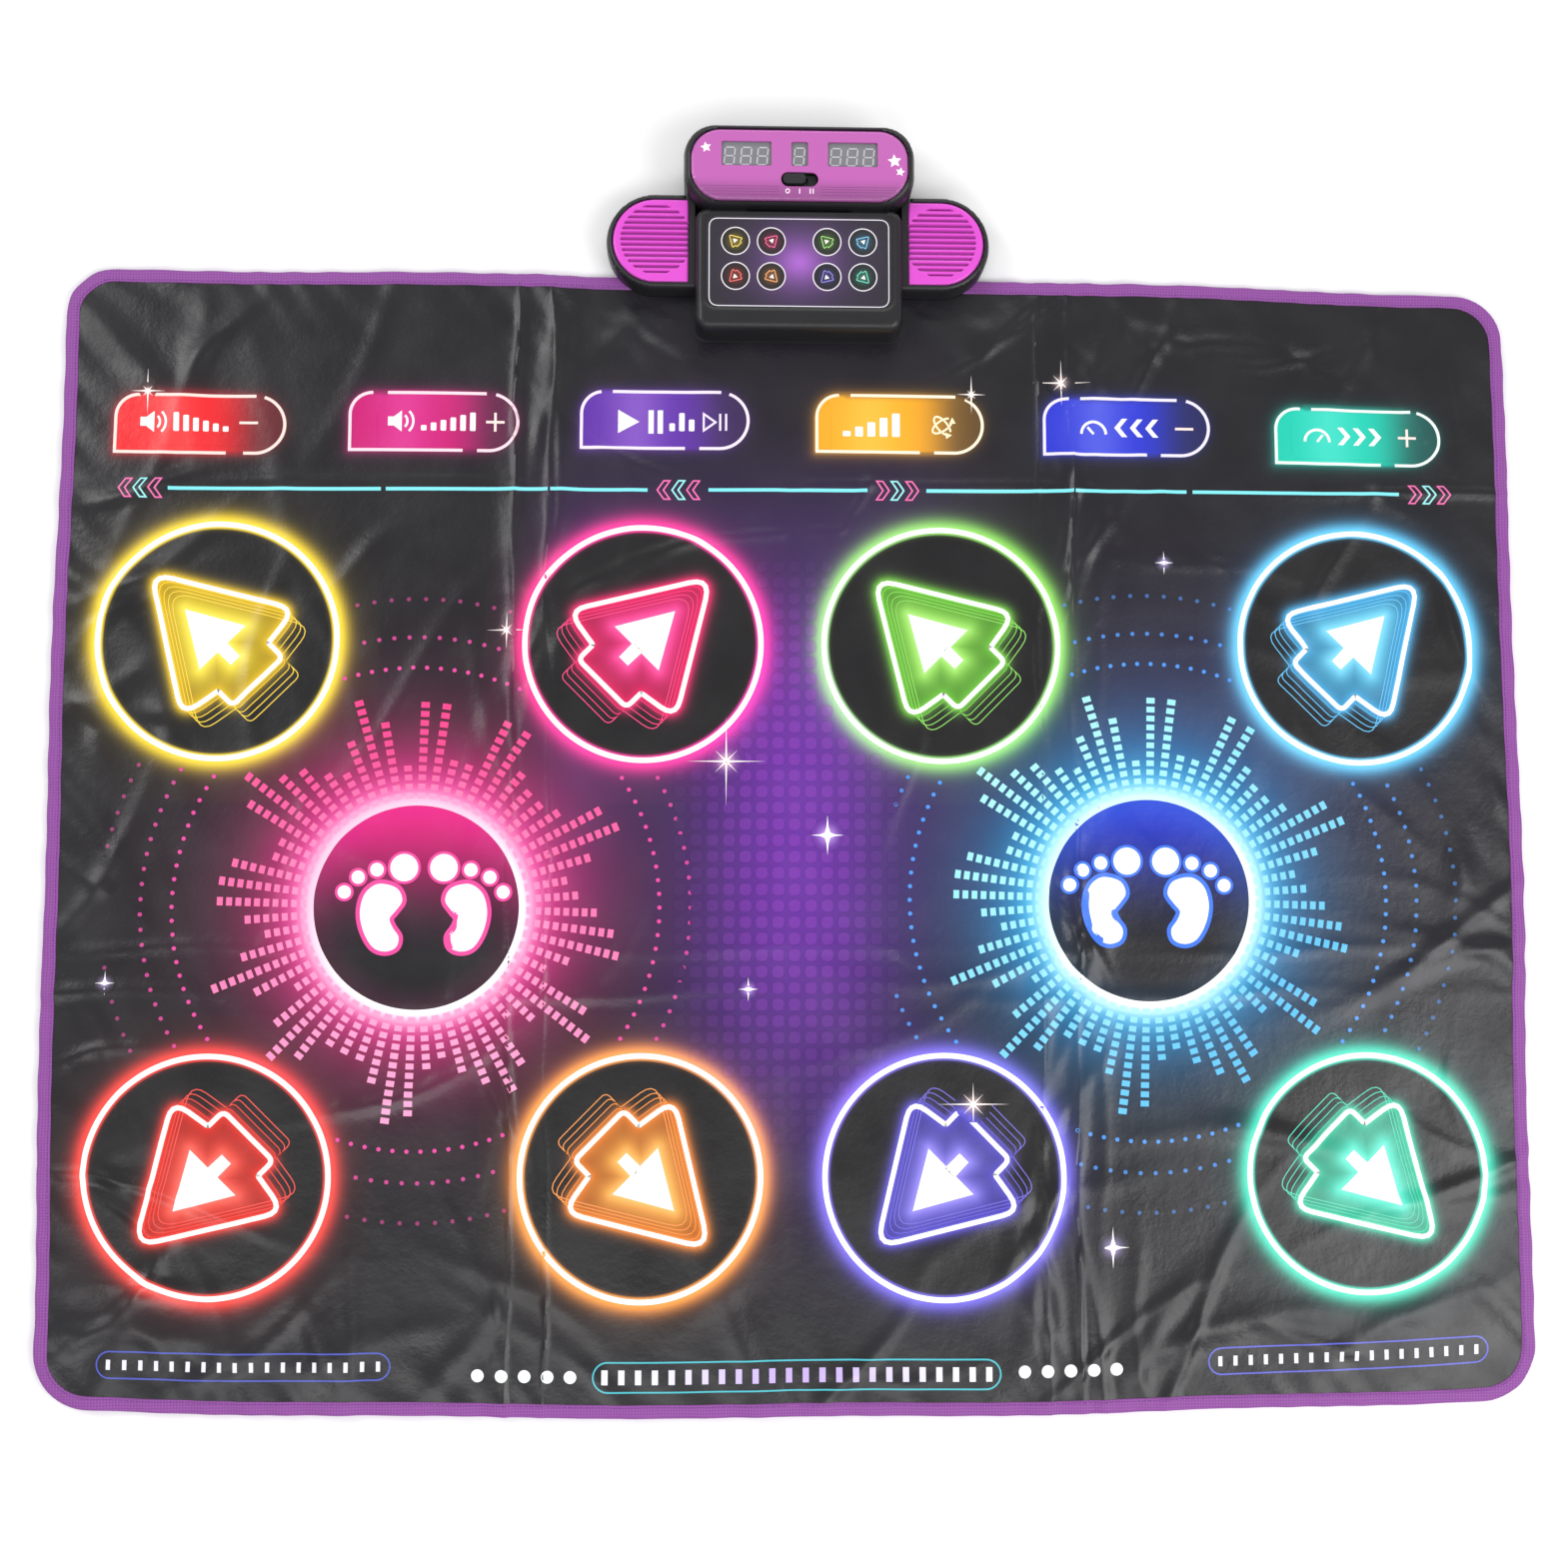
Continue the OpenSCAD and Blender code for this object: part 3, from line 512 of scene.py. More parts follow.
def warp(x, y):
    # the mat never lies quite square: the near corners and the far right corner draw in, the edges wander
    near = smoothStep(-y, 180, 425)
    far = smoothStep(y, 180, 425)
    drawn = 7 * smoothStep(x, 160, 560) - 1.4 * smoothStep(-x, 0, 300)
    dy = near * (10.0 * (x / 550) ** 2 - 2.5) - far * drawn
    dy += 0.8 * np.sin(x / 47 + 1) * (near + far)
    dx = (x / 550) * (3.4 * np.exp(-(y / 270) ** 2) - 1.6) + 0.8 * np.sin(y / 53 + 2) * (x / 550) ** 2
    free = smoothStep(consoleReach(x, y), 0, 60)
    return x + dx * free, y + dy * free


def matDistance(x, y, inset):
    # below zero on the mat, drawn in by inset, without the controller's notch
    halfX, halfY, corner = (mat[key] - inset for key in ("halfLength", "halfWidth", "cornerRadius"))
    edge = roundBox(x, y, 0, 0, halfX, halfY, corner)
    front = consoleFront - notch["gap"]
    gap = roundBox(x, y, consoleX, front + 100, notch["halfWidth"], 100, notch["corner"])
    return np.maximum(edge, -gap)


def sheetDistance(x, y, inset):
    # the same with the tongue that the controller clamps
    end = consoleFront + notch["tongueLength"]
    tongue = roundBox(x, y, consoleX, end - 60, notch["tongueHalf"], 60, 3)
    return np.minimum(matDistance(x, y, inset), tongue)


def place(x, y, z):
    # points of the mat in the shared frame
    wx, wy = warp(x, y)
    return np.stack([wx, wy + mat["middleY"], z], 1)


# what is printed on the mat

black = srgb("#151318")
dancePads = {
    "dance_pad_1": {"colour": "#ffd21f", "tip": 135},
    "dance_pad_2": {"colour": "#ff1f6b", "tip": 45},
    "dance_pad_3": {"colour": "#74d23c", "tip": 135},
    "dance_pad_4": {"colour": "#48b8f4", "tip": 45},
    "dance_pad_5": {"colour": "#ff3226", "tip": 225},
    "dance_pad_6": {"colour": "#ff8a2b", "tip": 315},
    "dance_pad_7": {"colour": "#5a4fd6", "tip": 225},
    "dance_pad_8": {"colour": "#2fd1a6", "tip": 315},
}
functionPads = {
    "function_pad_1": {"colour": "#e3161f", "edge": "#ff8f7a", "shift": (0.8, -3.5), "symbol": "quieter"},
    "function_pad_2": {"colour": "#c3106f", "edge": "#ff7fb4", "shift": (-9.2, -0.2), "symbol": "louder"},
    "function_pad_3": {"colour": "#5b2aa0", "edge": "#c9a6ff", "shift": (-2.5, 3.5), "symbol": "play"},
    "function_pad_4": {"colour": "#f2a51c", "edge": "#ffd37a", "shift": (0.5, 2.1), "symbol": "level"},
    "function_pad_5": {"colour": "#2430c8", "edge": "#9fa4ff", "shift": (-6.6, 1.9), "symbol": "slower"},
    "function_pad_6": {"colour": "#12c3a8", "edge": "#9ff5e6", "shift": (-0.5, -1.9), "symbol": "faster"},
}
for name, pad in {**dancePads, **functionPads}.items():
    low, high = boxMm(name)
    pad["x"], pad["y"] = (low[0] + high[0]) / 2, (low[1] + high[1]) / 2 - mat["middleY"]
    pad["halfX"], pad["halfY"] = (high[0] - low[0]) / 2, (high[1] - low[1]) / 2
padRadius = dancePads["dance_pad_1"]["halfX"]
ringWidth = 4.0
footSpots = {
    "left": {"x": -277.8, "y": -56.3, "colour": "#ff1f78", "soft": "#ff9cc6", "top": "#e0157c",
             "deep": "#a81c5e", "lift": (0.3, 0.95), "shift": 5.2, "edge": "#f0479b"},
    "right": {"x": 266.1, "y": -50.3, "colour": "#1f9df0", "soft": "#a9e8ff", "top": "#1f36cc",
              "deep": "#13619f", "lift": (-0.6, 0.5), "shift": -1.5, "edge": "#3b74f0"},
}
footRadius = 75.5
buttonSize = {"halfX": 65.5, "halfY": 24.0, "corner": 17.0}

emblem = np.array([(71.5, 0), (-22.5, 57.2), (-27.5, 25.6), (-43.0, 25.6), (-43.0, -25.6), (-27.5, -25.6),
                   (-22.5, -57.2)])
emblemRadii = [10.5, 9.5, 1.5, 5, 5, 1.5, 9.5]
cursor = np.array([(34.2, 0.8), (-6.2, 24.2), (-4.5, 5.8), (-20, 5.4), (-20, -3.8), (-4.5, -4.2),
                   (-6.2, -22.6)])


def turned(points, degrees, cx, cy):
    # points turned about the origin, then moved to a place
    c, s = np.cos(radians(degrees)), np.sin(radians(degrees))
    points = np.asarray(points, float)
    return np.stack([cx + points[:, 0] * c - points[:, 1] * s, cy + points[:, 0] * s + points[:, 1] * c], 1)


def buttonOutline(x0, x1, y0, y1, corner, n=14):
    # a D shape: round right end, round upper left corner, square lower left corner, clockwise from there
    r = (y1 - y0) / 2
    up = circlePath(x0 + corner, y1 - corner, corner, n, pi, pi / 2, False)
    end = circlePath(x1 - r, y0 + r, r, 2 * n, pi / 2, -pi / 2, False)
    return np.concatenate([[[x0, y0]], up, end])


def keyDistance(pad, x, y, grow=0.0):
    # the moving part of a function button: round right end, round upper left corner
    hx, hy = pad["halfX"] + grow, pad["halfY"] + grow
    outline = buttonOutline(pad["x"] - hx, pad["x"] + hx, pad["y"] - hy, pad["y"] + hy, 12 + grow)
    far = np.maximum(np.abs(x - pad["x"]) - hx, np.abs(y - pad["y"]) - hy)
    close = far < 12
    d = np.where(close, 0, far)
    d[close] = polyDistance(outline, x[close], y[close])
    return d


def evenInk(colour, count):
    # one colour for every point
    return np.repeat((srgb(colour) if isinstance(colour, str) else colour)[None], count, 0)


def mixTo(base, colour, amount):
    # base plus the amount's share of the way to the colour
    return base + (np.asarray(colour) - base) * np.clip(amount, 0, 1)[..., None]


def shine(base, colour, amount):
    # light of a colour laid over the print: what each leaves dark is multiplied
    return 1 - (1 - base) * (1 - np.asarray(colour) * np.clip(amount, 0, 1)[..., None])


def nearby(x, y, cx, cy, reach):
    # which points lie in the square round a place
    return (np.abs(x - cx) < reach) & (np.abs(y - cy) < reach)


def inkColour(x, y, discEdge=4.5):
    # soft parts of the print at a point: dark ground, violet band, glows round every printed light
    c = evenInk(black, len(x))
    band = np.exp(-(np.abs(x + 2) / 108) ** 2.6) * smoothStep(y, -390, -60)
    band = band * (1 - 0.9 * smoothStep(y, 60, 290))
    c = mixTo(c, srgb("#3d1a68"), 0.95 * band)
    haze = smoothStep(x, -230, -150) * (1 - smoothStep(x, 70, 190)) * smoothStep(y, -160, 60)
    c = mixTo(c, srgb("#3a2257"), 0.8 * haze * (1 - smoothStep(y, 215, 330)) * (1 - band))
    core = np.exp(-(np.abs(x - 4) / 62) ** 2.2) * smoothStep(y, -300, -10)
    core = core * (1 - smoothStep(y, 40, 270))
    c = mixTo(c, srgb("#67279c"), 0.9 * core)
    wash = np.exp(-((x - 300) / 150) ** 2 - ((y - 50) / 130) ** 2)
    c = shine(c, srgb("#3a2a6e"), 0.45 * wash)
    for spot in footSpots.values():
        m = nearby(x, y, spot["x"], spot["y"], 330)
        dx, dy = x[m] - spot["x"], y[m] - spot["y"]
        r = np.hypot(dx, dy)
        part = c[m]
        outer = np.exp(-(np.maximum(r - footRadius, 0) / 46) ** 1.55)
        lift = 0.82 + 0.18 * smoothStep(dy * spot["lift"][1] + dx * spot["lift"][0], -90, 90)
        part = mixTo(part, srgb(spot["deep"]), outer * lift)
        glow = np.exp(-(np.maximum(r - footRadius, 0) / 30) ** 1.5)
        part = shine(part, srgb(spot["colour"]), 0.62 * glow)
        part = shine(part, srgb(spot["colour"]) * 0.7, 0.34 * np.exp(-((r - 90) / 80) ** 2) * lift)
        part = mixTo(part, srgb(spot["soft"]), np.exp(-(np.maximum(r - footRadius - 3, 0) / 11) ** 1.4))
        white = 0.45 + 0.55 * smoothStep(-dy + 0.6 * dx, -70, 70)
        rim = np.exp(-(np.maximum(r - footRadius - 1, 0) / 7.5) ** 1.6)
        part = mixTo(part, [1, 1, 1], 0.95 * rim * white)
        low = smoothStep(dy, -footRadius * 0.55, footRadius * 1.0)
        inner = mixTo(evenInk(black, len(r)), srgb(spot["top"]), 0.95 * low)
        inner = shine(inner, srgb(spot["colour"]), 0.14 * smoothStep(r, 52, 76))
        part = np.where((r < footRadius + discEdge)[:, None], inner, part)
        c[m] = part
    for pad in functionPads.values():
        px, py = pad["x"] + pad["shift"][0], pad["y"] + pad["shift"][1]
        m = nearby(x, y, px, py, 90)
        hx, hy = buttonSize["halfX"] - 2.2, buttonSize["halfY"] - 2.2
        outline = buttonOutline(px - hx, px + hx, py - hy, py + hy, buttonSize["corner"])
        d = polyDistance(outline, x[m], y[m])
        part = c[m]
        along = (x[m] - px) / hx
        halo = 0.75 * np.exp(-np.maximum(d, 0) / 4.0) * (1 - 0.55 * smoothStep(along, 0.1, 1))
        part = shine(part, srgb(pad["colour"]), halo)
        tone = mixTo(part, srgb(pad["colour"]), 1 - smoothStep(along, 0.05, 0.72))
        tone = shine(tone, srgb(pad["edge"]), 0.28 * np.exp(-(along + 0.35) ** 2 / 0.12))
        part = np.where((d < 0)[:, None], tone, part)
        c[m] = part
    for pad in dancePads.values():
        m = nearby(x, y, pad["x"], pad["y"], padRadius + 34)
        dx, dy = x[m] - pad["x"], y[m] - pad["y"]
        r = np.hypot(dx, dy)
        part = c[m]
        out = r - padRadius - ringWidth
        part = shine(part, srgb(pad["colour"]), np.exp(-(np.maximum(out - 0.5, 0) / 7.6) ** 1.6))
        part = shine(part, srgb(pad["colour"]) * 0.8, 0.4 * np.exp(-np.maximum(out, 0) / 13.0))
        inner = evenInk("#131114", len(r))
        inner = shine(inner, srgb(pad["colour"]), 0.7 * np.exp(-np.maximum(padRadius - 0.4 - r, 0) / 1.1))
        shape = turned(roundCorners(emblem, emblemRadii), pad["tip"], pad["x"], pad["y"])
        d = polyDistance(shape, x[m], y[m])
        glow = srgb(pad["colour"])
        inner = shine(inner, glow, 0.95 * np.exp(-(np.maximum(d - 1.5, 0) / 4.8) ** 1.3))
        fill = mixTo(inner * 0 + glow * 0.6, glow * 0.92, np.exp(-np.maximum(-d - 1.2, 0) / 4.5))
        arrow = turned(cursor, pad["tip"], pad["x"], pad["y"])
        near = polyDistance(arrow, x[m], y[m])
        fill = shine(fill, glow, 0.9 * np.exp(-(np.maximum(near, 0) / 10) ** 1.4))
        fill = shine(fill, np.ones(3), 0.22 * np.exp(-np.maximum(near, 0) / 5.0))
        inner = np.where((d < 0)[:, None], fill, inner)
        part = np.where((r < padRadius + 0.02)[:, None], inner, part)
        c[m] = part
    return c


# crisp parts of the print: thin ink shapes laid on the sheet

inkLayers = {"left": [], "right": []}
inkLift = 0.3        # how far the print stands above the sheet, so that it never sinks into a wrinkle
inkDepth = 0.5
levelStep = 0.035    # extra height of each layer of ink


def printShape(points, tris, colour, level=0, target=None):
    # keeps one ink shape; colour is hex text, one colour or one per point
    points = np.asarray(points, float)
    if isinstance(colour, str):
        colour = srgb(colour)
    colours = np.broadcast_to(np.asarray(colour, float), (len(points), 3))
    if target is None:
        cx, cy = points.mean(0)
        target = "left" if cx < 0 else "right"
        for name, pad in dancePads.items():
            if np.hypot(points[:, 0] - pad["x"], points[:, 1] - pad["y"]).max() < padRadius:
                target = name
        for name, pad in functionPads.items():
            across = np.abs(points[:, 0] - pad["x"]).max()
            if across < pad["halfX"] and np.abs(cy - pad["y"]) < pad["halfY"]:
                target = name
    inkLayers.setdefault(target, []).append((points, tris, colours, level))


def printLine(path, width, colour, level=0, closed=False, step=3.5, target=None):
    # a line of ink: the path cut into short steps, then widened to both sides
    printShape(*stripAlong(densify(path, step, closed), width, closed), colour, level, target)


def printFill(outline, colour, level=0, rings=2, target=None):
    # a filled outline, in rings that shrink to its middle
    printShape(*ringGrid(outline, rings), colour, level, target)


def shadeFrom(points, tint, amount):
    # the soft print under each point, brought towards a tint
    return mixTo(inkColour(points[:, 0], points[:, 1]), srgb(tint), np.full(len(points), amount))


def printRings():
    # each pad's white ring, four thin echoes of its emblem set back behind one another, the emblem's
    # white outline and the arrow inside
    for pad in dancePads.values():
        ring = circlePath(pad["x"], pad["y"], padRadius + 0.3 + ringWidth / 2, 180)
        printShape(*stripAlong(ring, ringWidth, True), "#fdfcf8", 1)
        for k in range(4, 0, -1):
            echo = roundCorners(emblem - [k * 4.7, 0], emblemRadii)
            tint = mixTo(srgb(pad["colour"]), np.ones(3), 0.04 + 0.04 * k)
            printLine(turned(echo, pad["tip"], pad["x"], pad["y"]), 0.62, tint, 0, True, 3)
        outline = turned(roundCorners(emblem, emblemRadii), pad["tip"], pad["x"], pad["y"])
        printLine(outline, 3.6, "#fffef8", 2, True, 3)
        arrow = turned(cursor, pad["tip"], pad["x"], pad["y"])
        head = arrow[[0, 1, 6]]
        printFill(densify(head, 3, True), "#fffefa", 2, 8)
        printFill(densify(arrow[[2, 3, 4, 5]], 3, True), "#fffefa", 2, 3)


def printButtons():
    # a broken outline round each function button: the stretches in gaps, from and to in x on the upper
    # or lower side, are left out
    hx, hy = buttonSize["halfX"] - 2.2, buttonSize["halfY"] - 2.2
    gaps = {"function_pad_1": [(-404.8, -399.6, 1), (-425.4, -416.4, -1)],
            "function_pad_2": [(-316.4, -308.1, 1), (-230.6, -225.3, 1), (-248.7, -239.7, -1)],
            "function_pad_3": [(-144.4, -136.8, 1), (-53.3, -48.7, 1), (-79.7, -71.4, -1)],
            "function_pad_4": [(36, 43.5, 1), (126, 131, 1), (98, 107, -1)],
            "function_pad_5": [(212, 219.5, 1), (297, 302, 1), (273, 282, -1)],
            "function_pad_6": [(391, 398, 1), (476, 481, 1), (452, 461, -1)]}
    for name, pad in functionPads.items():
        px, py = pad["x"] + pad["shift"][0], pad["y"] + pad["shift"][1]
        path = densify(buttonOutline(px - hx, px + hx, py - hy, py + hy, buttonSize["corner"]), 2.2, True)
        keep = np.ones(len(path), bool)
        for low, high, side in gaps[name]:
            keep &= ~((path[:, 0] > low) & (path[:, 0] < high) & (np.sign(path[:, 1] - py) == side))
        first = np.flatnonzero(~keep)[-1] + 1
        path, keep = np.roll(path, -first, 0), np.roll(keep, -first)
        cuts = np.flatnonzero(np.diff(keep.astype(int))) + 1
        for run, on in zip(np.split(path, cuts), np.split(keep, cuts)):
            if on[0] and len(run) > 2:
                tint = mixTo(srgb("#fff6f2"), srgb(pad["edge"]), 0.25)
                printShape(*stripAlong(run, 2.3), tint, 1, "left" if px < 0 else "right")


def boxCorners(x0, x1, y0, y1):
    # lower left, lower right, upper right, upper left
    return [[x0, y0], [x1, y0], [x1, y1], [x0, y1]]


def barRow(x, y, heights, width, pitch, colour="#fffdfb"):
    # a row of upright bars standing on one line, as on a level meter
    for i, high in enumerate(heights):
        cx = x + i * pitch
        corners = boxCorners(cx - width / 2, cx + width / 2, y, y + high)
        printFill(densify(roundCorners(corners, 0.8, 3), 4, True), colour, 2, 1)


def speakerSign(x, y):
    # a loudspeaker's body with two arcs of sound
    body = [[-8, -3.4], [-3.6, -3.4], [2.4, -8], [2.4, 8], [-3.6, 3.4], [-8, 3.4]]
    printFill(densify(np.array(body) + [x, y], 3, True), "#fffdfb", 2, 2)
    for r in (6, 10.5):
        printLine(circlePath(x + 0.6, y, r, 14, -0.8, 0.8, False), 1.7, "#fffdfb", 2)


def minusSign(x, y):
    # one level stroke
    printLine([[x - 7, y], [x + 7, y]], 1.9, "#ffe4dc", 2)


def plusSign(x, y):
    # a minus with an upright stroke in two parts, so that no inks cross
    minusSign(x, y)
    printLine([[x, y + 1], [x, y + 7.2]], 1.9, "#ffe4dc", 2)
    printLine([[x, y - 7.2], [x, y - 1]], 1.9, "#ffe4dc", 2)


def chevron(x, y, way, wide, high, line, colour, level=2):
    # an outlined angle bracket: two slanting limbs with flat ends
    w, h, t = wide / 2, high / 2, wide * 0.48
    path = np.array([[-w, h], [-w + t, h], [w, 0], [-w + t, -h], [-w, -h], [w - t, 0]]) * [way, 1] + [x, y]
    printLine(path, line, colour, level, True, 2.5)


def solidChevron(x, y, way, wide, high):
    # a filled angle bracket in two slanting parts
    w, h, t = wide / 2, high / 2, wide * 0.42
    path = np.array([[-w, h], [w - t, 0], [-w, -h], [-w + t, -h], [w, 0], [-w + t, h]]) * [way, 1] + [x, y]
    for ids in ([0, 1, 4, 5], [1, 2, 3, 4]):
        printFill(densify(path[ids], 3, True), "#fffdfb", 2, 1)


def orbitSign(x, y):
    # two crossed rings with an arrow head each
    for turn in (35, -50):
        t = np.linspace(0.5, 2 * pi - 0.1, 36)
        printLine(turned(np.stack([8.6 * np.cos(t), 3.9 * np.sin(t)], 1), turn, x, y), 1.5, "#fff2c8", 2)
        tip = turned([[9.6, -4.2], [5.4, -1.6], [10.2, 1.2]], turn, x, y)
        printFill(tip, "#fff2c8", 2, 1)


def printSigns():
    # each button's sign, by its kind
    for pad in functionPads.values():
        x, y, kind = pad["x"], pad["y"] + pad["shift"][1] * 0.6, pad["symbol"]
        if kind in ("quieter", "louder"):
            speakerSign(x - 36, y)
            steps = [14, 12, 10, 8, 6, 4] if kind == "quieter" else [4, 6, 8, 10, 12, 14]
            barRow(x - 17, y - 7, steps, 4.2, 7.4)
            (minusSign if kind == "quieter" else plusSign)(x + 37, y)
        if kind == "play":
            printFill(densify([[x - 38, y - 9], [x - 22, y], [x - 38, y + 9]], 3, True), "#fffdfb", 2, 3)
            for gap in (-15, -8):
                bar = boxCorners(x + gap, x + gap + 4, y - 9, y + 9)
                printFill(densify(bar, 4, True), "#fffdfb", 2, 1)
            barRow(x + 3, y - 7, [6, 14, 9], 4.2, 7.4)
            printLine([[x + 27, y - 6.5], [x + 36, y], [x + 27, y + 6.5]], 1.5, "#f2e4ff", 2, True)
            for gap in (39.5, 44):
                printLine([[x + gap, y - 6.5], [x + gap, y + 6.5]], 1.6, "#f2e4ff", 2)
        if kind == "level":
            barRow(x - 40, y - 9, [4, 7.5, 11, 14.5, 18], 6, 9.4)
            orbitSign(x + 33, y)
        if kind in ("slower", "faster"):
            t = np.linspace(pi, 0, 16)
            printLine(np.stack([x - 32 + 9.5 * np.cos(t), y - 5 + 9.5 * np.sin(t)], 1), 2, "#fffdfb", 2)
            lean = 2.3 if kind == "slower" else 0.9
            needle = [[x - 32, y - 5], [x - 32 + 7 * np.cos(lean), y - 5 + 7 * np.sin(lean)]]
            printLine(needle, 1.8, "#fffdfb", 2)
            for i in range(3):
                solidChevron(x - 11 + i * 12, y, -1 if kind == "slower" else 1, 10, 14)
            (minusSign if kind == "slower" else plusSign)(x + 38, y)


def printRow():
    # the cyan line under the buttons, with its chevrons
    for x0, x1 in ((-469.4, -310.6), (-306.9, -109.8), (-63.7, 57.0), (102.0, 301.2), (305.9, 465.0)):
        y0, y1 = 260 + 3 * (x0 / 550), 260 + 3 * (x1 / 550)
        printLine([[x0, y0], [x1, y1]], 2.6, "#7fe3ee", 1)
    for x, way in ((-490, -1), (-86.5, -1), (80, 1), (489, 1)):
        for i, tint in enumerate(("#f06fb0", "#9ff0f2", "#f06fb0")):
            chevron(x + (i - 1) * 11.2, 260 + 3 * (x / 550), way, 9.6, 14.0, 1.15, tint)


def footOutline():
    # sole of a left foot: a smooth closed curve through a few points, by the cubic of each four neighbours
    pts = np.array([(-7, 24.5), (4, 21), (8, 12), (3, 4), (-1.5, -2), (1, -9), (5.5, -16), (3.5, -24),
                    (-5, -27), (-14, -23.5), (-21, -12), (-24, 2), (-21.5, 15), (-15, 22.5)], float)
    n = len(pts)
    t = np.linspace(0, 1, 5)[:-1, None]
    out = []
    for k in range(n):
        a, b, c, d = pts[k - 1], pts[k], pts[(k + 1) % n], pts[(k + 2) % n]
        square, cube = 2 * a - 5 * b + 4 * c - d, 3 * b - a - 3 * c + d
        out.append(0.5 * (2 * b + (c - a) * t + square * t ** 2 + cube * t ** 3))
    return np.concatenate(out)


def printFootRings():
    # the bright rim of each foot circle: rings of points in the soft print's colour, from a crisp edge out
    n = 160
    radii = footRadius + np.array([0.05, 1.5, 3, 5, 7, 9, 11, 13])
    for side, spot in footSpots.items():
        pts = np.concatenate([circlePath(spot["x"], spot["y"], r, n) for r in radii])
        i, k = (g.ravel() for g in np.meshgrid(np.arange(n), np.arange(len(radii) - 1)))
        j = (i + 1) % n
        tris = np.concatenate([np.stack([k * n + i, k * n + j, (k + 1) * n + j], 1),
                               np.stack([k * n + i, (k + 1) * n + j, (k + 1) * n + i], 1)])
        printShape(pts, tris, inkColour(pts[:, 0], pts[:, 1], 0.0), -2, side)


def printFeet():
    # two feet, the right one mirrored: a coloured rim under a white sole and four white toes
    toes = [(-14.6, 29.3, 10.2), (-34.5, 27.7, 5.0), (-48.5, 22.2, 4.9), (-58.5, 11.2, 4.9)]
    for side, spot in footSpots.items():
        edge, sx, sy = spot["edge"], spot["x"] + spot["shift"], spot["y"]
        for way in (1, -1):
            sole = footOutline() * [way * 0.97, 0.97] + [sx - way * 23.5, sy - 6.5]
            sole = sole[::way]
            printShape(*stripAlong(densify(sole, 3, True), 6.4, True), edge, 0)
            middle = sole.mean(0) + [way * -3.0, 0]
            printShape(*ringGrid(densify(sole, 3, True), 8, middle), "#fffdfd", 2)
            for tx, ty, r in toes:
                cx, cy = sx + way * tx, sy + ty
                printFill(circlePath(cx, cy, r + 2.0, 28), edge, 0, 5)
                printFill(circlePath(cx, cy, r, 28), "#fffdfd", 2, 5)


def overPad(x, y, margin):
    # whether a point lies on a round pad or within a margin of one
    return any(np.hypot(x - pad["x"], y - pad["y"]) < padRadius + margin for pad in dancePads.values())


squareGrid = np.array([(u, v) for v in (-1, 0, 1) for u in (-1, 0, 1)], float)
squareTris = np.array([t for q in (0, 1, 3, 4) for t in ((q, q + 1, q + 4), (q, q + 4, q + 3))])


def printBursts():
    # light squares in sixty rays round each foot circle; the rays' lengths rise and fall five times as fast
    # as a slow drift round the circle
    for side, spot in footSpots.items():
        a = radians(90) - radians(1.7) - np.arange(60) * 2 * pi / 60
        k = np.arange(60)
        reach = 134 + 22 * np.cos(2 * pi * k / 5.1 + 0.8 * np.sin(k / 3.3) - 0.4) + 8 * np.sin(k * 1.9)
        for ray in range(60):
            for r in np.arange(83.0, reach[ray], 6.8):
                size = np.array([2.15, 2.7 + 0.006 * (r - 80)])
                c, s = np.cos(a[ray]), np.sin(a[ray])
                square = size * squareGrid + [r, 0]
                pts = np.stack([spot["x"] + square[:, 0] * c - square[:, 1] * s,
                                spot["y"] + square[:, 0] * s + square[:, 1] * c], 1)
                centre = pts.mean(0)
                if overPad(*centre, 9):
                    continue
                if side == "left":
                    tint = mixTo(srgb("#ff3d86"), srgb("#ff9cc8"), 0.5 - 0.5 * s)
                else:
                    tint = mixTo(srgb("#4fb2ee"), srgb("#a5ecef"), 0.5 + 0.5 * np.cos(a[ray] - 2.2))
                tint = mixTo(tint, srgb(spot["soft"]), np.exp(-(r - 83) / 16))
                printShape(pts, squareTris, tint, 0)


def printArcs():
    # three circles of dots round each burst, left out over pads, at the edges and by the other burst
    for side, spot in footSpots.items():
        for r, gap, strong in ((179, 10.2, 1.0), (202, 11.2, 0.85), (231, 12.8, 0.6)):
            n = int(2 * pi * r / gap)
            for t in np.arange(n) * 2 * pi / n:
                cx, cy = spot["x"] + r * np.cos(t), spot["y"] + r * np.sin(t)
                if abs(cx) > 505 or cy > 205 or cy < -345 or abs(cx) < 75:
                    continue
                if overPad(cx, cy, 12):
                    continue
                other = footSpots["right" if side == "left" else "left"]
                if np.hypot(cx - other["x"], cy - other["y"]) < 170:
                    continue
                pts = circlePath(cx, cy, 1.65, 8)
                tint = "#e0459c" if side == "left" else "#4a90e6"
                printShape(pts, [[0, i, i + 1] for i in range(1, 7)], shadeFrom(pts, tint, strong), 0)


def printHalftone():
    # round-cornered squares on a grid over the violet band, fainter towards its edges
    for x in np.arange(-84, 84, 12.2):
        for y in np.arange(-250, 212, 12.2):
            fade = np.exp(-((x + 2) / 66) ** 4) * smoothStep(y, -260, -80)
            fade = fade * (1 - smoothStep(y, 110, 225))
            if fade < 0.06 or overPad(x, y, 12):
                continue
            rim = roundCorners(boxCorners(x - 4.5, x + 4.5, y - 4.5, y + 4.5), 3.4, 3)
            pts = np.concatenate([[[x, y]], rim])
            fan = [[0, 1 + i, 1 + (i + 1) % len(rim)] for i in range(len(rim))]
            printShape(pts, fan, shadeFrom(pts, "#9c40c0", 0.27 * fade), 0)


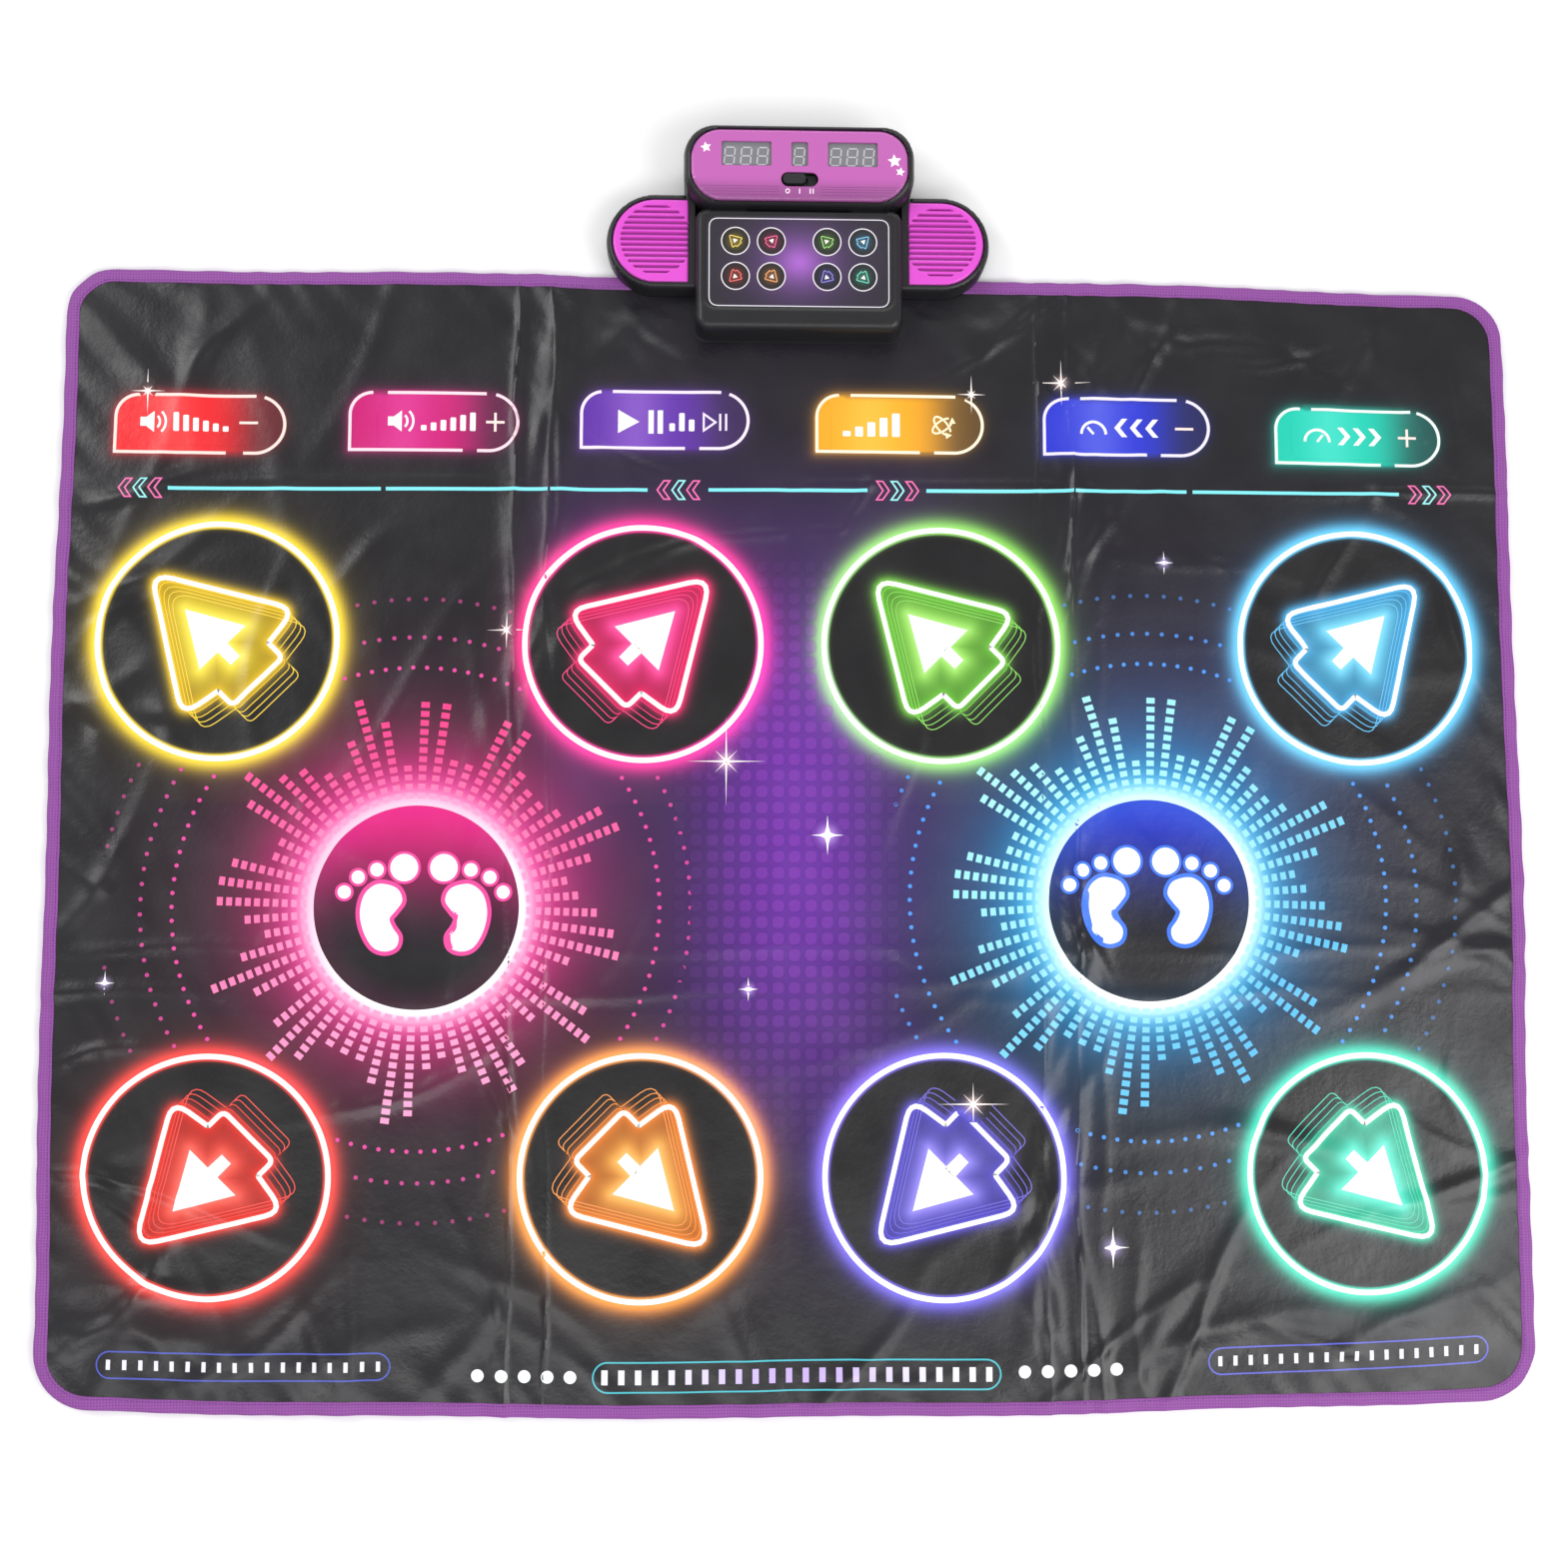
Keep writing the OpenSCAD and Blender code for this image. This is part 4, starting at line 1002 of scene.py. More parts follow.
def starArm(x, y, angle, arm, waist, bend, tip, colour, target=None):
    # one arm of a star, from its waist in the middle to a point
    path = [[0, waist], [0, -waist], [arm * bend, -tip], [arm, 0], [arm * bend, tip]]
    printShape(turned(path, angle, x, y), [[0, 1, 2], [0, 2, 4], [2, 3, 4]], colour, 4, target)


def starGlow(x, y, radius, tint, strength, power, target=None):
    # a round glow that fades out to its rim
    pts, tris = ringGrid(circlePath(x, y, radius, 24), 4)
    r = np.hypot(pts[:, 0] - x, pts[:, 1] - y) / radius
    base = inkColour(pts[:, 0], pts[:, 1])
    printShape(pts, tris, shine(base, srgb(tint), strength * (1 - smoothStep(r, 0, 1)) ** power), 3, target)


# printed stars: place, long arm, waist; then those with eight rays: place, upright arm, level arm
sparkles = [(26, -2.1, 15, 2.6), (-32.9, -116.7, 9, 1.8), (236.6, -306.1, 15, 2.4), (282.6, 206.1, 9, 1.7),
            (-503.7, -112.2, 9, 1.6)]
glints = [(-487, 331, 17, 13), (-49.6, 53.2, 34, 30), (206.3, 346.2, 18, 22), (137, 336.1, 15, 11),
          (133.8, -201.5, 16, 27), (-214, 151.4, 15, 15)]


def printSparkles():
    # four-armed stars in the field, and eight-armed glints on the edges of other shapes
    for x, y, arm, waist in sparkles:
        starGlow(x, y, arm * 0.82, "#c9b2ff", 0.75, 1)
        for angle, reach in ((90, arm), (0, arm * 0.82), (180, arm * 0.82), (270, arm)):
            starArm(x, y, angle, reach, waist, 0.45, waist * 0.25, "#ffffff")
    for x, y, up, side in glints:
        half = "left" if x < 0 else "right"
        starGlow(x, y, side * 0.5, "#ffd6c8", 0.8, 2, half)
        slanted = [(angle, side * 0.4) for angle in (45, 135, 225, 315)]
        for angle, arm in [(90, up), (0, side), (180, side), (270, up)] + slanted:
            starArm(x, y, angle, arm, 0.8, 0.5, 0.3, "#fff6f0", half)


def capsulePath(x0, x1, y0, y1, bend):
    # a box with round ends; bend tilts it, in millimetres for each 100 along
    r = (y1 - y0) / 2
    right = circlePath(x1 - r, y0 + r, r, 16, -pi / 2, pi / 2, False)
    left = circlePath(x0 + r, y0 + r, r, 16, pi / 2, 3 * pi / 2, False)
    path = densify(np.concatenate([right, left]), 4, True)
    path[:, 1] += bend * (path[:, 0] - (x0 + x1) / 2) / 100
    return path


def printBottomRow():
    # three capsules of dashes along the near edge, with five dots on both sides of the middle one
    for x0, x1, y0, y1, n, tint, bend in ((-504.4, -293.2, -402.1, -379.5, 18, "#4a55b8", 0.9),
                                          (-146.0, 152.6, -408.0, -382.5, 24, "#46b8c6", 0.2),
                                          (306.7, 514.4, -402.6, -374.5, 18, "#5a5fc8", 2.2)):
        y0, y1 = (y0 + y1) / 2 - 9.6, (y0 + y1) / 2 + 9.6
        if n == 24:
            y0, y1 = y0 - 1, y1 + 1
        path = capsulePath(x0, x1, y0, y1, bend)
        printShape(*stripAlong(path, 1.15, True), tint, 0)
        inset = 8.5
        for i, x in enumerate(np.linspace(x0 + inset, x1 - inset, n)):
            y = (y0 + y1) / 2 + bend * (x - (x0 + x1) / 2) / 100
            wide, high = (1.5, 3.6) if n == 18 else (2.3, 5.2)
            middle = np.exp(-((x - (x0 + x1) / 2) / (0.27 * (x1 - x0))) ** 2)
            dash = mixTo(srgb("#e9eef2"), srgb("#b28fe0"), 0.75 * middle if n == 24 else 0.1)
            printLine([[x, y - high], [x, y + high]], 2 * wide, dash, 0, False, 1.5)
    for x in (-229.8, -212.5, -195.9, -179.2, -162.6, 170.4, 187.4, 204.3, 221.3, 238.2):
        printFill(circlePath(x, -395.7 if x < 0 else -393.6, 4.6, 24), "#eef5f6", 0, 2)


def inkPiece(name, shapes, toFrame, topAt, lift, depth, material, sliver=1e-5):
    # joins ink shapes into one thin closed piece: triangles turned to face up, slivers left out, and each
    # level a little higher than the one below
    start, points, tris, colours, levels = 0, [], [], [], []
    for p, t, c, level in shapes:
        points.append(np.asarray(p, float))
        tris.append(np.asarray(t) + start)
        colours.append(np.broadcast_to(srgb(c) if isinstance(c, str) else c, (len(p), 3)))
        levels.append(np.full(len(p), float(level)))
        start += len(p)
    pts, tris, colours, levels = (np.concatenate(v) for v in (points, tris, colours, levels))
    e1, e2 = pts[tris[:, 1]] - pts[tris[:, 0]], pts[tris[:, 2]] - pts[tris[:, 0]]
    area = e1[:, 0] * e2[:, 1] - e1[:, 1] * e2[:, 0]
    tris = np.where((area < 0)[:, None], tris[:, ::-1], tris)[np.abs(area) > sliver]
    z = topAt(pts[:, 0], pts[:, 1]) + lift + levelStep * levels
    body, faces = slab(toFrame(pts[:, 0], pts[:, 1], z), tris, depth + levelStep * levels)
    return makePiece(name, body, faces, material, np.tile(colours, (2, 1)), 60)


printFootRings()
printBursts()
printArcs()
printHalftone()
printRings()
printButtons()
printSigns()
printRow()
printFeet()
printSparkles()
printBottomRow()
print("print drawn:", sum(len(shapes) for shapes in inkLayers.values()), "shapes")

# the mat's layers


def halfGrid(side, step):
    # grid lines of one half of the mat, finer where the sheet turns at the fold
    far = mat["halfLength"] + step
    if step > 4:
        xs = np.concatenate([np.arange(0, 200, step), np.arange(200, 232, 2.6), np.arange(235, far, step)])
    else:
        outer = np.linspace(223, mat["halfLength"], 106)
        xs = np.concatenate([np.linspace(0, 174, 56), np.arange(176, 222, 1.6), outer])
    xs = xs if side == "right" else -xs[::-1]
    ys = np.linspace(-mat["halfWidth"], mat["halfWidth"], int(2 * mat["halfWidth"] / step) + 1)
    return xs, ys


def joinFold(piece):
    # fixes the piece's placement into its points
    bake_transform(piece)


def padHoles(x, y, grow):
    # distance to the nearest pad's opening, below zero inside an opening
    d = np.full(x.shape, 1e3)
    for pad in dancePads.values():
        d = np.minimum(d, np.hypot(x - pad["x"], y - pad["y"]) - padRadius - grow)
    for pad in functionPads.values():
        d = np.minimum(d, keyDistance(pad, x, y, grow))
    return d


def layerArea(points, tris):
    # half the cross products of the triangles' sides, in square metres
    p = points[:, :2] * mm
    a, b, c = p[tris[:, 0]], p[tris[:, 1]], p[tris[:, 2]]
    return np.abs((b - a)[:, 0] * (c - a)[:, 1] - (b - a)[:, 1] * (c - a)[:, 0]).sum() / 2


def makeLayer(name, side, step, inside, top, thick, material, coloured=False):
    # one half of one layer: a grid cut to its region, set at its height and given its thickness
    xs, ys = halfGrid(side, step)
    x, y, tris = maskGrid(xs, ys, inside)
    points = place(x, y, top(x, y))
    body, faces = slab(points, tris, thick)
    inks = np.tile(inkColour(x, y), (2, 1)) if coloured else None
    piece = makePiece(name, body, faces, material, inks, 50)
    return piece, layerArea(points, tris)


matLayers = {
    # gaps are round the pads, insets from the mat's edge
    "sheetGap": 0.05, "coreGap": 5.5, "sheetInset": 1.0, "coreInset": 2.5,
    "coreTop": 3.7, "coreThick": 2.75, "coreStep": 5.0, "baseThick": 0.8,
    "printed": ("top_sheet",), "core": ("foam", "lower_film"), "base": ("base_sheet",),
}


def panelNodes(stem, side):
    # the nodes that one half's piece stands for; the middle panel's node goes with the left half
    names = [f"{s}_{side}" for s in stem]
    return names + ([f"{s}_centre" for s in stem] if side == "left" else [])


def coreTop(x, y):
    # the foam's level top
    return np.full(x.shape, matLayers["coreTop"])


def baseTop(x, y):
    # the backing's level top
    return np.full(x.shape, matLayers["baseThick"])


for side in ("left", "right"):
    printed, area = makeLayer(
        f"printed_sheet_{side}", side, mat["sheetStep"],
        lambda x, y: np.maximum(sheetDistance(x, y, matLayers["sheetInset"]),
                                -padHoles(x, y, matLayers["sheetGap"])),
        height, mat["sheetThickness"], materials["sheet"], True)
    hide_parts(*panelNodes(matLayers["printed"], side))
    joinFold(printed)
    core, area = makeLayer(
        f"mat_core_{side}", side, matLayers["coreStep"],
        lambda x, y: np.maximum(matDistance(x, y, matLayers["coreInset"]),
                                -padHoles(x, y, matLayers["coreGap"])),
        coreTop, matLayers["coreThick"], materials["foam"])
    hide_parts(*panelNodes(matLayers["core"], side))
    joinFold(core)
    base, area = makeLayer(
        f"grip_base_{side}", side, matLayers["coreStep"],
        lambda x, y: matDistance(x, y, mat["bindingWidth"] + 0.5),
        baseTop, matLayers["baseThick"], materials["grip"])
    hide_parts(*panelNodes(matLayers["base"], side))
    joinFold(base)
print("mat layers made")

# binding tape and its stitching

binding = {"width": mat["bindingWidth"], "tape": 0.75, "station": 3.0,
           "stitch": 3.0, "pitch": 4.3, "stitchInset": 8.2, "thread": 0.6}


def edgePath(side, step):
    # half of the mat's outline, from the controller's notch round to the middle of the near edge
    way = 1 if side == "right" else -1
    hl, hw, r = mat["halfLength"], mat["halfWidth"], mat["cornerRadius"]
    start = consoleX * way + notch["halfWidth"]
    corner1 = circlePath(hl - r, hw - r, r, 13, pi / 2, 0, False)
    corner2 = circlePath(hl - r, -hw + r, r, 13, 0, -pi / 2, False)
    path = np.concatenate([[[start, hw]], corner1, corner2, [[0, -hw]]])
    path = densify(path, step)
    path[:, 0] *= way
    before, after = np.vstack([path[:1], path[:-1]]), np.vstack([path[1:], path[-1:]])
    d = after - before
    d /= np.linalg.norm(d, axis=1)[:, None]
    inward = np.stack([d[:, 1], -d[:, 0]], 1) * way
    return path, inward


def bindingPiece(side):
    # a U of tape: its profile, upper flange, outer turn and lower flange, is carried along the mat's edge;
    # each profile point is an inset, the face it follows and its lift from that face
    path, inward = edgePath(side, binding["station"])
    w, t = binding["width"], binding["tape"]
    profile = [(w, "up", t * 0.55), (w - 0.5, "up", t), (w * 0.66, "up", t), (w * 0.33, "up", t),
               (1.2, "up", t), (0.35, "up", t * 0.45), (0.0, "mid", 0.72), (0.0, "mid", 0.35),
               (0.3, "low", 0.25), (1.0, "low", 0.0), (w, "low", 0.0), (w, "low", t),
               (0.9, "low", t), (0.9, "up", 0.02), (w * 0.5, "up", 0.02), (w, "up", 0.02)]
    rows = []
    for inset, kind, lift in profile:
        x, y = path[:, 0] + inward[:, 0] * inset, path[:, 1] + inward[:, 1] * inset
        top = height(x, y)
        z = top + lift if kind == "up" else (top * lift if kind == "mid" else np.full(len(x), lift))
        rows.append(place(x, y, z))
    n, m = len(path), len(profile)
    points = np.stack(rows, 1).reshape(-1, 3)
    i, j = (g.ravel() for g in np.meshgrid(np.arange(n - 1), np.arange(m), indexing="ij"))
    k = (j + 1) % m
    quads = np.stack([i * m + j, (i + 1) * m + j, (i + 1) * m + k, i * m + k], 1)
    if side == "left":
        quads = quads[:, ::-1]
    caps = []
    for base, turn in ((0, 1), ((n - 1) * m, -1)):
        pairs = [(0, 1, 14, 15), (1, 2, 14, 14), (2, 3, 14, 14), (3, 4, 13, 14), (4, 5, 13, 13),
                 (5, 6, 13, 13), (6, 7, 12, 13), (7, 8, 12, 12), (8, 9, 12, 12), (9, 10, 11, 12)]
        for a, b, c, e in pairs:
            caps.append([base + a, base + b, base + c][::turn])
            if c != e:
                caps.append([base + a, base + c, base + e][::turn])
    caps = np.array(caps)
    if side == "left":
        caps = caps[:, ::-1]
    piece = makePiece(f"binding_tape_{side}", points, caps, materials["tape"], quads=quads, angle=60)
    return piece


def stitchPiece(side):
    # a row of short threads on the upper flange, each a small closed bar with a raised middle
    path, inward = edgePath(side, 0.5)
    every = int(binding["pitch"] / 0.5)
    half = int(binding["stitch"] / 0.5)
    starts = np.arange(8, len(path) - half - 4, every)
    rings = []
    for part in (0.0, 0.5, 1.0):
        at = starts + int(half * part)
        for off, up in ((-1, 0), (-0.5, 1), (0.5, 1), (1, 0)):
            inset = binding["stitchInset"] + off * binding["thread"] / 2
            x, y = path[at, 0] + inward[at, 0] * inset, path[at, 1] + inward[at, 1] * inset
            rise = 0.28 if part == 0.5 else 0.1
            z = height(x, y) + binding["tape"] - 0.08 + (rise + 0.08) * up
            rings.append(place(x, y, z))
    points = np.stack(rings, 1)
    n = len(starts)
    local = []
    for a in (0, 4):
        for p, q in ((0, 1), (1, 2), (2, 3), (3, 0)):
            local += [[a + p, a + 4 + p, a + 4 + q], [a + p, a + 4 + q, a + q]]
    local += [[0, 1, 2], [0, 2, 3], [8, 10, 9], [8, 11, 10]]
    local = np.array(local)
    tris = (np.arange(n)[:, None, None] * 12 + local[None]).reshape(-1, 3)
    if side == "left":
        tris = tris[:, ::-1]
    return makePiece(f"edge_stitching_{side}", points.reshape(-1, 3), tris, materials["thread"], angle=50)


for side in ("left", "right"):
    tape = bindingPiece(side)
    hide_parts(*panelNodes(("binding",), side))
    joinFold(tape)
    seam = stitchPiece(side)
    joinFold(seam)
print("binding sewn on")

# pads

padDisc = {"gap": 0.25, "points": 144, "rings": 38, "thick": 1.4, "keyStep": 2.4}


def padPiece(name, x, y, tris):
    # a pad's moving part of the sheet, in the same relief and print as the sheet round it
    points = place(x, y, height(x, y))
    body, faces = slab(points, tris, padDisc["thick"])
    piece = makePiece(name, body, faces, materials["sheet"], np.tile(inkColour(x, y), (2, 1)), 50)
    return piece, layerArea(points, tris)


printed = {target: inkPiece(f"print_{target}", shapes, place, height, inkLift, inkDepth, materials["ink"])
           for target, shapes in inkLayers.items() if shapes}
for name, pad in {**dancePads, **functionPads}.items():
    if name in dancePads:
        outline = circlePath(pad["x"], pad["y"], pad["halfX"] + padDisc["gap"], padDisc["points"])
        flat, tris = ringGrid(outline, padDisc["rings"])
        x, y = flat[:, 0], flat[:, 1]
        title = name.replace("dance_pad", "dance_disc")
    else:
        xs = np.arange(pad["x"] - pad["halfX"] - 3, pad["x"] + pad["halfX"] + 3, padDisc["keyStep"])
        ys = np.arange(pad["y"] - pad["halfY"] - 3, pad["y"] + pad["halfY"] + 3, padDisc["keyStep"])
        x, y, tris = maskGrid(xs, ys, lambda a, b: keyDistance(pad, a, b, -0.02))
        title = name.replace("function_pad", "function_button")
    piece, area = padPiece(title, x, y, tris)
    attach(piece, name)
    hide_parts(name)
    if name in printed:
        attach(printed[name], name)
for side in ("left", "right"):
    joinFold(printed[side])
print("pads made")

# controller

hood = {
    "box": (0.0, 423.5, 78.5, 47.5, 10.0),      # middle across and along, half sizes, corner radius
    "head": (0.0, 501.0, 87.0, 31.0, 24.0),
    "fascia": (0.0, 500.6, 81.5, 26.4, 22.0),
    "film": (0.0, 430.5, 70.8, 36.8, 8.0),
    "bottom": 5.4, "wall": 2.2, "step": 1.15, "foot": 3.4, "filmTop": 35.15,
    "boxTop": 35.5, "headTop": 45.5, "bendY": 487.0, "slope": 5.5 / 14,
    "lensR": 11.2, "lensX": (21.0, 48.0), "lensY": (417.0, 444.0),
}
pod = {"middleX": -108.5, "middleY": 447.0, "radius": 37.0, "straightX": -78.6, "bottom": 6.2, "top": 25.5,
       "rim": 4.9, "step": 1.1, "pitch": 4.3, "slatR": 27.5, "slatY": 448.0, "slatStep": 0.62,
       # trough: a deeper pink painted into the grille's grooves as shade
       "pink": "#dc4fcd", "trough": "#9c3a90"}


def planBox(x, y, plan, inset=0.0):
    # distance to one of the controller's plan outlines, drawn in by inset
    cx, cy, hx, hy, r = plan
    return roundBox(x, y, cx, cy, hx - inset, hy - inset, max(r - inset, 0.3))


def arcDrop(d, wide, high):
    # how far a rounded edge lies below the level top at distance d from the outline: a quarter of an ellipse
    t = 1 - np.clip(d / wide, 0, 1)
    return high * (1 - np.sqrt(np.clip(1 - t * t, 0, 1)))


def bendDrop(y):
    # the head's front slopes down past a soft bend
    t = hood["bendY"] - y
    return hood["slope"] * np.where(t > 4, t, np.where(t < -4, 0, (t + 4) ** 2 / 16))


def hoodTop(x, y):
    # the larger of two crowned forms: the control box with a raised rim and the head with a rounded brow
    box = hood["boxTop"] - arcDrop(-planBox(x, y, hood["box"]), 6.5, 7.5)
    rim = -planBox(x, y, hood["film"], -3.4)
    box = box - 0.85 * smoothStep(rim, 0, 3.2)
    neck = smoothStep(46 - np.abs(x) - 0.9 * np.abs(y - 475), 0, 4) * smoothStep(y, 464, 468)
    box = box - 2.2 * neck
    head = hood["headTop"] - arcDrop(-planBox(x, y, hood["head"]), 4.6, 8.0) - bendDrop(y)
    inner = -planBox(x, y, hood["fascia"], -0.4)
    head = np.where(inner > 0, hood["headTop"] - 2.65 - bendDrop(y), head)
    onBox, onHead = planBox(x, y, hood["box"]) < 0.4, planBox(x, y, hood["head"]) < 0.4
    top = np.where(onBox & onHead, np.maximum(box, head), np.where(onHead, head, box))
    bridge = (np.abs(x) < 50) & ~onBox & ~onHead
    return np.where(bridge, 33.0, top)


def hoodDistance(x, y):
    # the plan of box and head together, less the display opening and eight lens holes
    outer = np.minimum(planBox(x, y, hood["box"]), planBox(x, y, hood["head"]))
    hole = planBox(x, y, hood["fascia"], 4.0)
    for lx in hood["lensX"]:
        for ly in hood["lensY"]:
            hole = np.minimum(hole, np.hypot(np.abs(x) - lx, y - ly) - hood["lensR"])
    return np.maximum(outer, -hole)


def controllerPlace(x, y, z):
    # points of the controller in the shared frame; z is one height or one per point
    return np.stack([x + consoleX, y + mat["middleY"], np.broadcast_to(z, x.shape)], 1)


def hoodPiece():
    # a height field over the plan with a lower side: deep at the outline for the walls, one wall thick
    # inside; a low foot runs round the control box where it meets the mat
    xs = np.linspace(-88, 88, int(176 / hood["step"]) + 1)
    ys = np.linspace(375, 533, int(158 / hood["step"]) + 1)
    x, y, tris = maskGrid(xs, ys, hoodDistance)
    top = hoodTop(x, y)
    outer = -np.minimum(planBox(x, y, hood["box"]), planBox(x, y, hood["head"]))
    low = np.where(outer < hood["wall"], hood["bottom"], top - hood["wall"])
    points = controllerPlace(x, y, top)
    body, faces = slab(points, tris, top - low)
    cx, cy, hx, hy, r = hood["box"]
    path = roundCorners([[-hx, 466], [-hx, cy - hy], [hx, cy - hy], [hx, 466]], [0.1, r, r, 0.1], 10)
    path, strip = stripAlong(densify(path, 3), hood["foot"])
    foot, footFaces = slab(controllerPlace(path[:, 0], path[:, 1], 6.1), strip, 0.95)
    faces = np.concatenate([faces, footFaces + len(body)])
    return makePiece("controller_hood", np.concatenate([body, foot]), faces, materials["black"], angle=42)


def podDistance(x, y, inset=0.0):
    # D shape, mirrored by the caller: a round end and a straight side against the control box
    r = pod["radius"] - inset
    upDown = y - pod["middleY"]
    across = np.where(x < pod["middleX"], np.hypot(x - pod["middleX"], upDown), np.abs(upDown)) - r
    cut = -planBox(x, y, hood["head"], -0.2)
    return np.maximum(np.maximum(across, x - pod["straightX"] + inset), cut)


def podPiece(side):
    # a D tray: rounded over its outer edge, sunk inside the rim where the grille sits, hollow below, and
    # closed by a floor plate
    way = -1 if side == "right" else 1
    xs = np.linspace(-146, -78.6, int(67.4 / pod["step"]) + 1)
    ys = np.linspace(409, 485, int(76 / pod["step"]) + 1)
    x, y, tris = maskGrid(xs, ys, podDistance)
    d = -podDistance(x, y)
    fromEdge = np.where(x > pod["straightX"] - 6, pod["radius"] - np.abs(y - pod["middleY"]), d)
    top = pod["top"] + 0.4 - arcDrop(fromEdge, 3.4, 5.5)
    top = np.where(d > pod["rim"] - 0.2, pod["top"] - 2.4, top)
    hollow = np.where(d > 2.0, top - 1.6, pod["bottom"])
    points = controllerPlace(way * x, y, top)
    body, faces = slab(points, tris[:, ::way], top - hollow)
    x, y, tris = maskGrid(xs[::3], ys[::3], lambda a, b: podDistance(a, b, 0.6))
    floor, floorFaces = slab(controllerPlace(way * x, y, pod["bottom"] + 2), tris[:, ::way], 1.95)
    faces = np.concatenate([faces, floorFaces + len(body)])
    points = np.concatenate([body, floor])
    return makePiece(f"speaker_pod_{side}", points, faces, materials["black"], angle=42)


def grillePiece(side):
    # a crowned D plate; inside a circle its height follows rounded slats with narrow troughs between, a
    # smoothed cosine across them, and the troughs' colour is painted darker as shade
    way = -1 if side == "right" else 1
    xs = np.linspace(-143, -78, int(65 / pod["slatStep"]) + 1)
    ys = np.linspace(411, 483, int(72 / pod["slatStep"]) + 1)
    x, y, tris = maskGrid(xs, ys, lambda a, b: podDistance(a, b, pod["rim"]))
    d = -podDistance(x, y, pod["rim"])
    z = pod["top"] + 0.9 - arcDrop(d, 2.2, 1.6)
    r = np.hypot(x - pod["middleX"] - 0.8, y - pod["slatY"])
    phase = (y - pod["slatY"]) / pod["pitch"] * 2 * pi
    trough = smoothStep(0.5 + 0.5 * np.cos(phase), 0.35, 0.9)
    inside = smoothStep(pod["slatR"] - r, 0, 0.9) * (np.abs(y - pod["slatY"]) < 6.1 * pod["pitch"])
    z = z - 2.5 * trough * inside - 0.25 * inside
    # painted shade: the pink is darkened towards the trough colour down in each groove
    inks = mixTo(evenInk(pod["pink"], len(x)), srgb(pod["trough"]), 0.8 * trough * inside)
    body, faces = slab(controllerPlace(way * x, y, z), tris[:, ::way], z - 23.35)
    return makePiece(f"speaker_grille_{side}", body, faces, materials["pink"], np.tile(inks, (2, 1)), 48)


face = {"windowY": 508.5, "windowHalf": (18.8, 9.5), "middleHalf": 6.3, "windowX": 40.0,
        # low: the pink painted darker as shade on the sloping front
        "slot": (0.0, 489.0, 14.0, 5.3), "top": 45.0, "thick": 2.0, "pink": "#bd62b0", "low": "#98518f"}


def faceTop(x, y):
    # pink front plate: level, then sloping past a soft bend, with a rounded edge
    d = -planBox(x, y, hood["fascia"])
    return face["top"] - bendDrop(y) - arcDrop(d, 1.6, 0.9)


def faceDistance(x, y):
    # the front plate's plan, less three display windows and the switch's slot
    hole = roundBox(np.abs(x), y, face["windowX"], face["windowY"], *face["windowHalf"], 0.4)
    middle = roundBox(x, y, 0, face["windowY"], face["middleHalf"], face["windowHalf"][1], 0.4)
    hole = np.minimum(hole, middle)
    sx, sy, hx, hy = face["slot"]
    hole = np.minimum(hole, roundBox(x, y, sx, sy, hx, hy, hy - 0.05))
    return np.maximum(planBox(x, y, hood["fascia"]), -hole)


def facePiece():
    # the front plate follows its sloping top; its pink is painted darker down the slope as shade
    xs = np.linspace(-82, 82, 165)
    ys = np.arange(474.0, 529.6, 1.0)
    x, y, tris = maskGrid(xs, ys, faceDistance)
    points = controllerPlace(x, y, faceTop(x, y))
    body, faces = slab(points, tris, face["thick"] - arcDrop(-planBox(x, y, hood["fascia"]), 1.6, 0.9))
    # painted shade: the pink darkens towards the low colour where the plate slopes down
    low = smoothStep(-y, -492, -476)
    inks = mixTo(evenInk(face["pink"], len(x)), srgb(face["low"]), low)
    return makePiece("front_plate", body, faces, materials["pink"], np.tile(inks, (2, 1)), 42)


def panelColour(x, y):
    # dark film with a violet light in its middle and a faint tint under each icon
    c = evenInk("#232127", len(x))
    r = np.hypot((x - 0.3) / 1.15, y - 428)
    c = shine(c, srgb("#b04be0"), 0.72 * np.exp(-(r / 17) ** 1.6))
    c = shine(c, srgb("#5a2f80"), 0.55 * np.exp(-(r / 44) ** 2))
    for (ix, iy), pad in zip(iconSpots(), dancePads.values()):
        q = np.hypot(x - ix, y - iy)
        c = mixTo(c, srgb("#1c1b1d"), 1 - smoothStep(q, 9.5, 10.8))
        c = shine(c, srgb(pad["colour"]), 0.42 * np.exp(-(q / 6.2) ** 2))
    out = roundBox(x, y, -0.1, 427.75, 67.7, 33.75, 7.0)
    return mixTo(c, srgb("#19181b"), smoothStep(out, 1.0, 3.0))


def iconSpots():
    # the middles of the eight icons: four columns in two rows
    xs = (-48.0, -21.0, 21.0, 48.0)
    return [(x, hood["lensY"][1]) for x in xs] + [(x, hood["lensY"][0]) for x in xs]


def panelFilm():
    # the level film over the icons
    xs = np.linspace(-71, 71, 115)
    ys = np.linspace(393.5, 467.5, 61)
    x, y, tris = maskGrid(xs, ys, lambda a, b: planBox(a, b, hood["film"], 0.5))
    body, faces = slab(controllerPlace(x, y, hood["filmTop"]), tris, 0.45)
    inks = np.tile(panelColour(x, y), (2, 1))
    return makePiece("icon_panel_film", body, faces, materials["panelInk"], inks, 50)


def flatPrint(name, shapes, topAt, lift=0.06, depth=0.12):
    # thin ink shapes on a controller surface
    level = [(*shape, 0) for shape in shapes]
    return inkPiece(name, level, controllerPlace, topAt, lift, depth, materials["panelInk"], 1e-6)


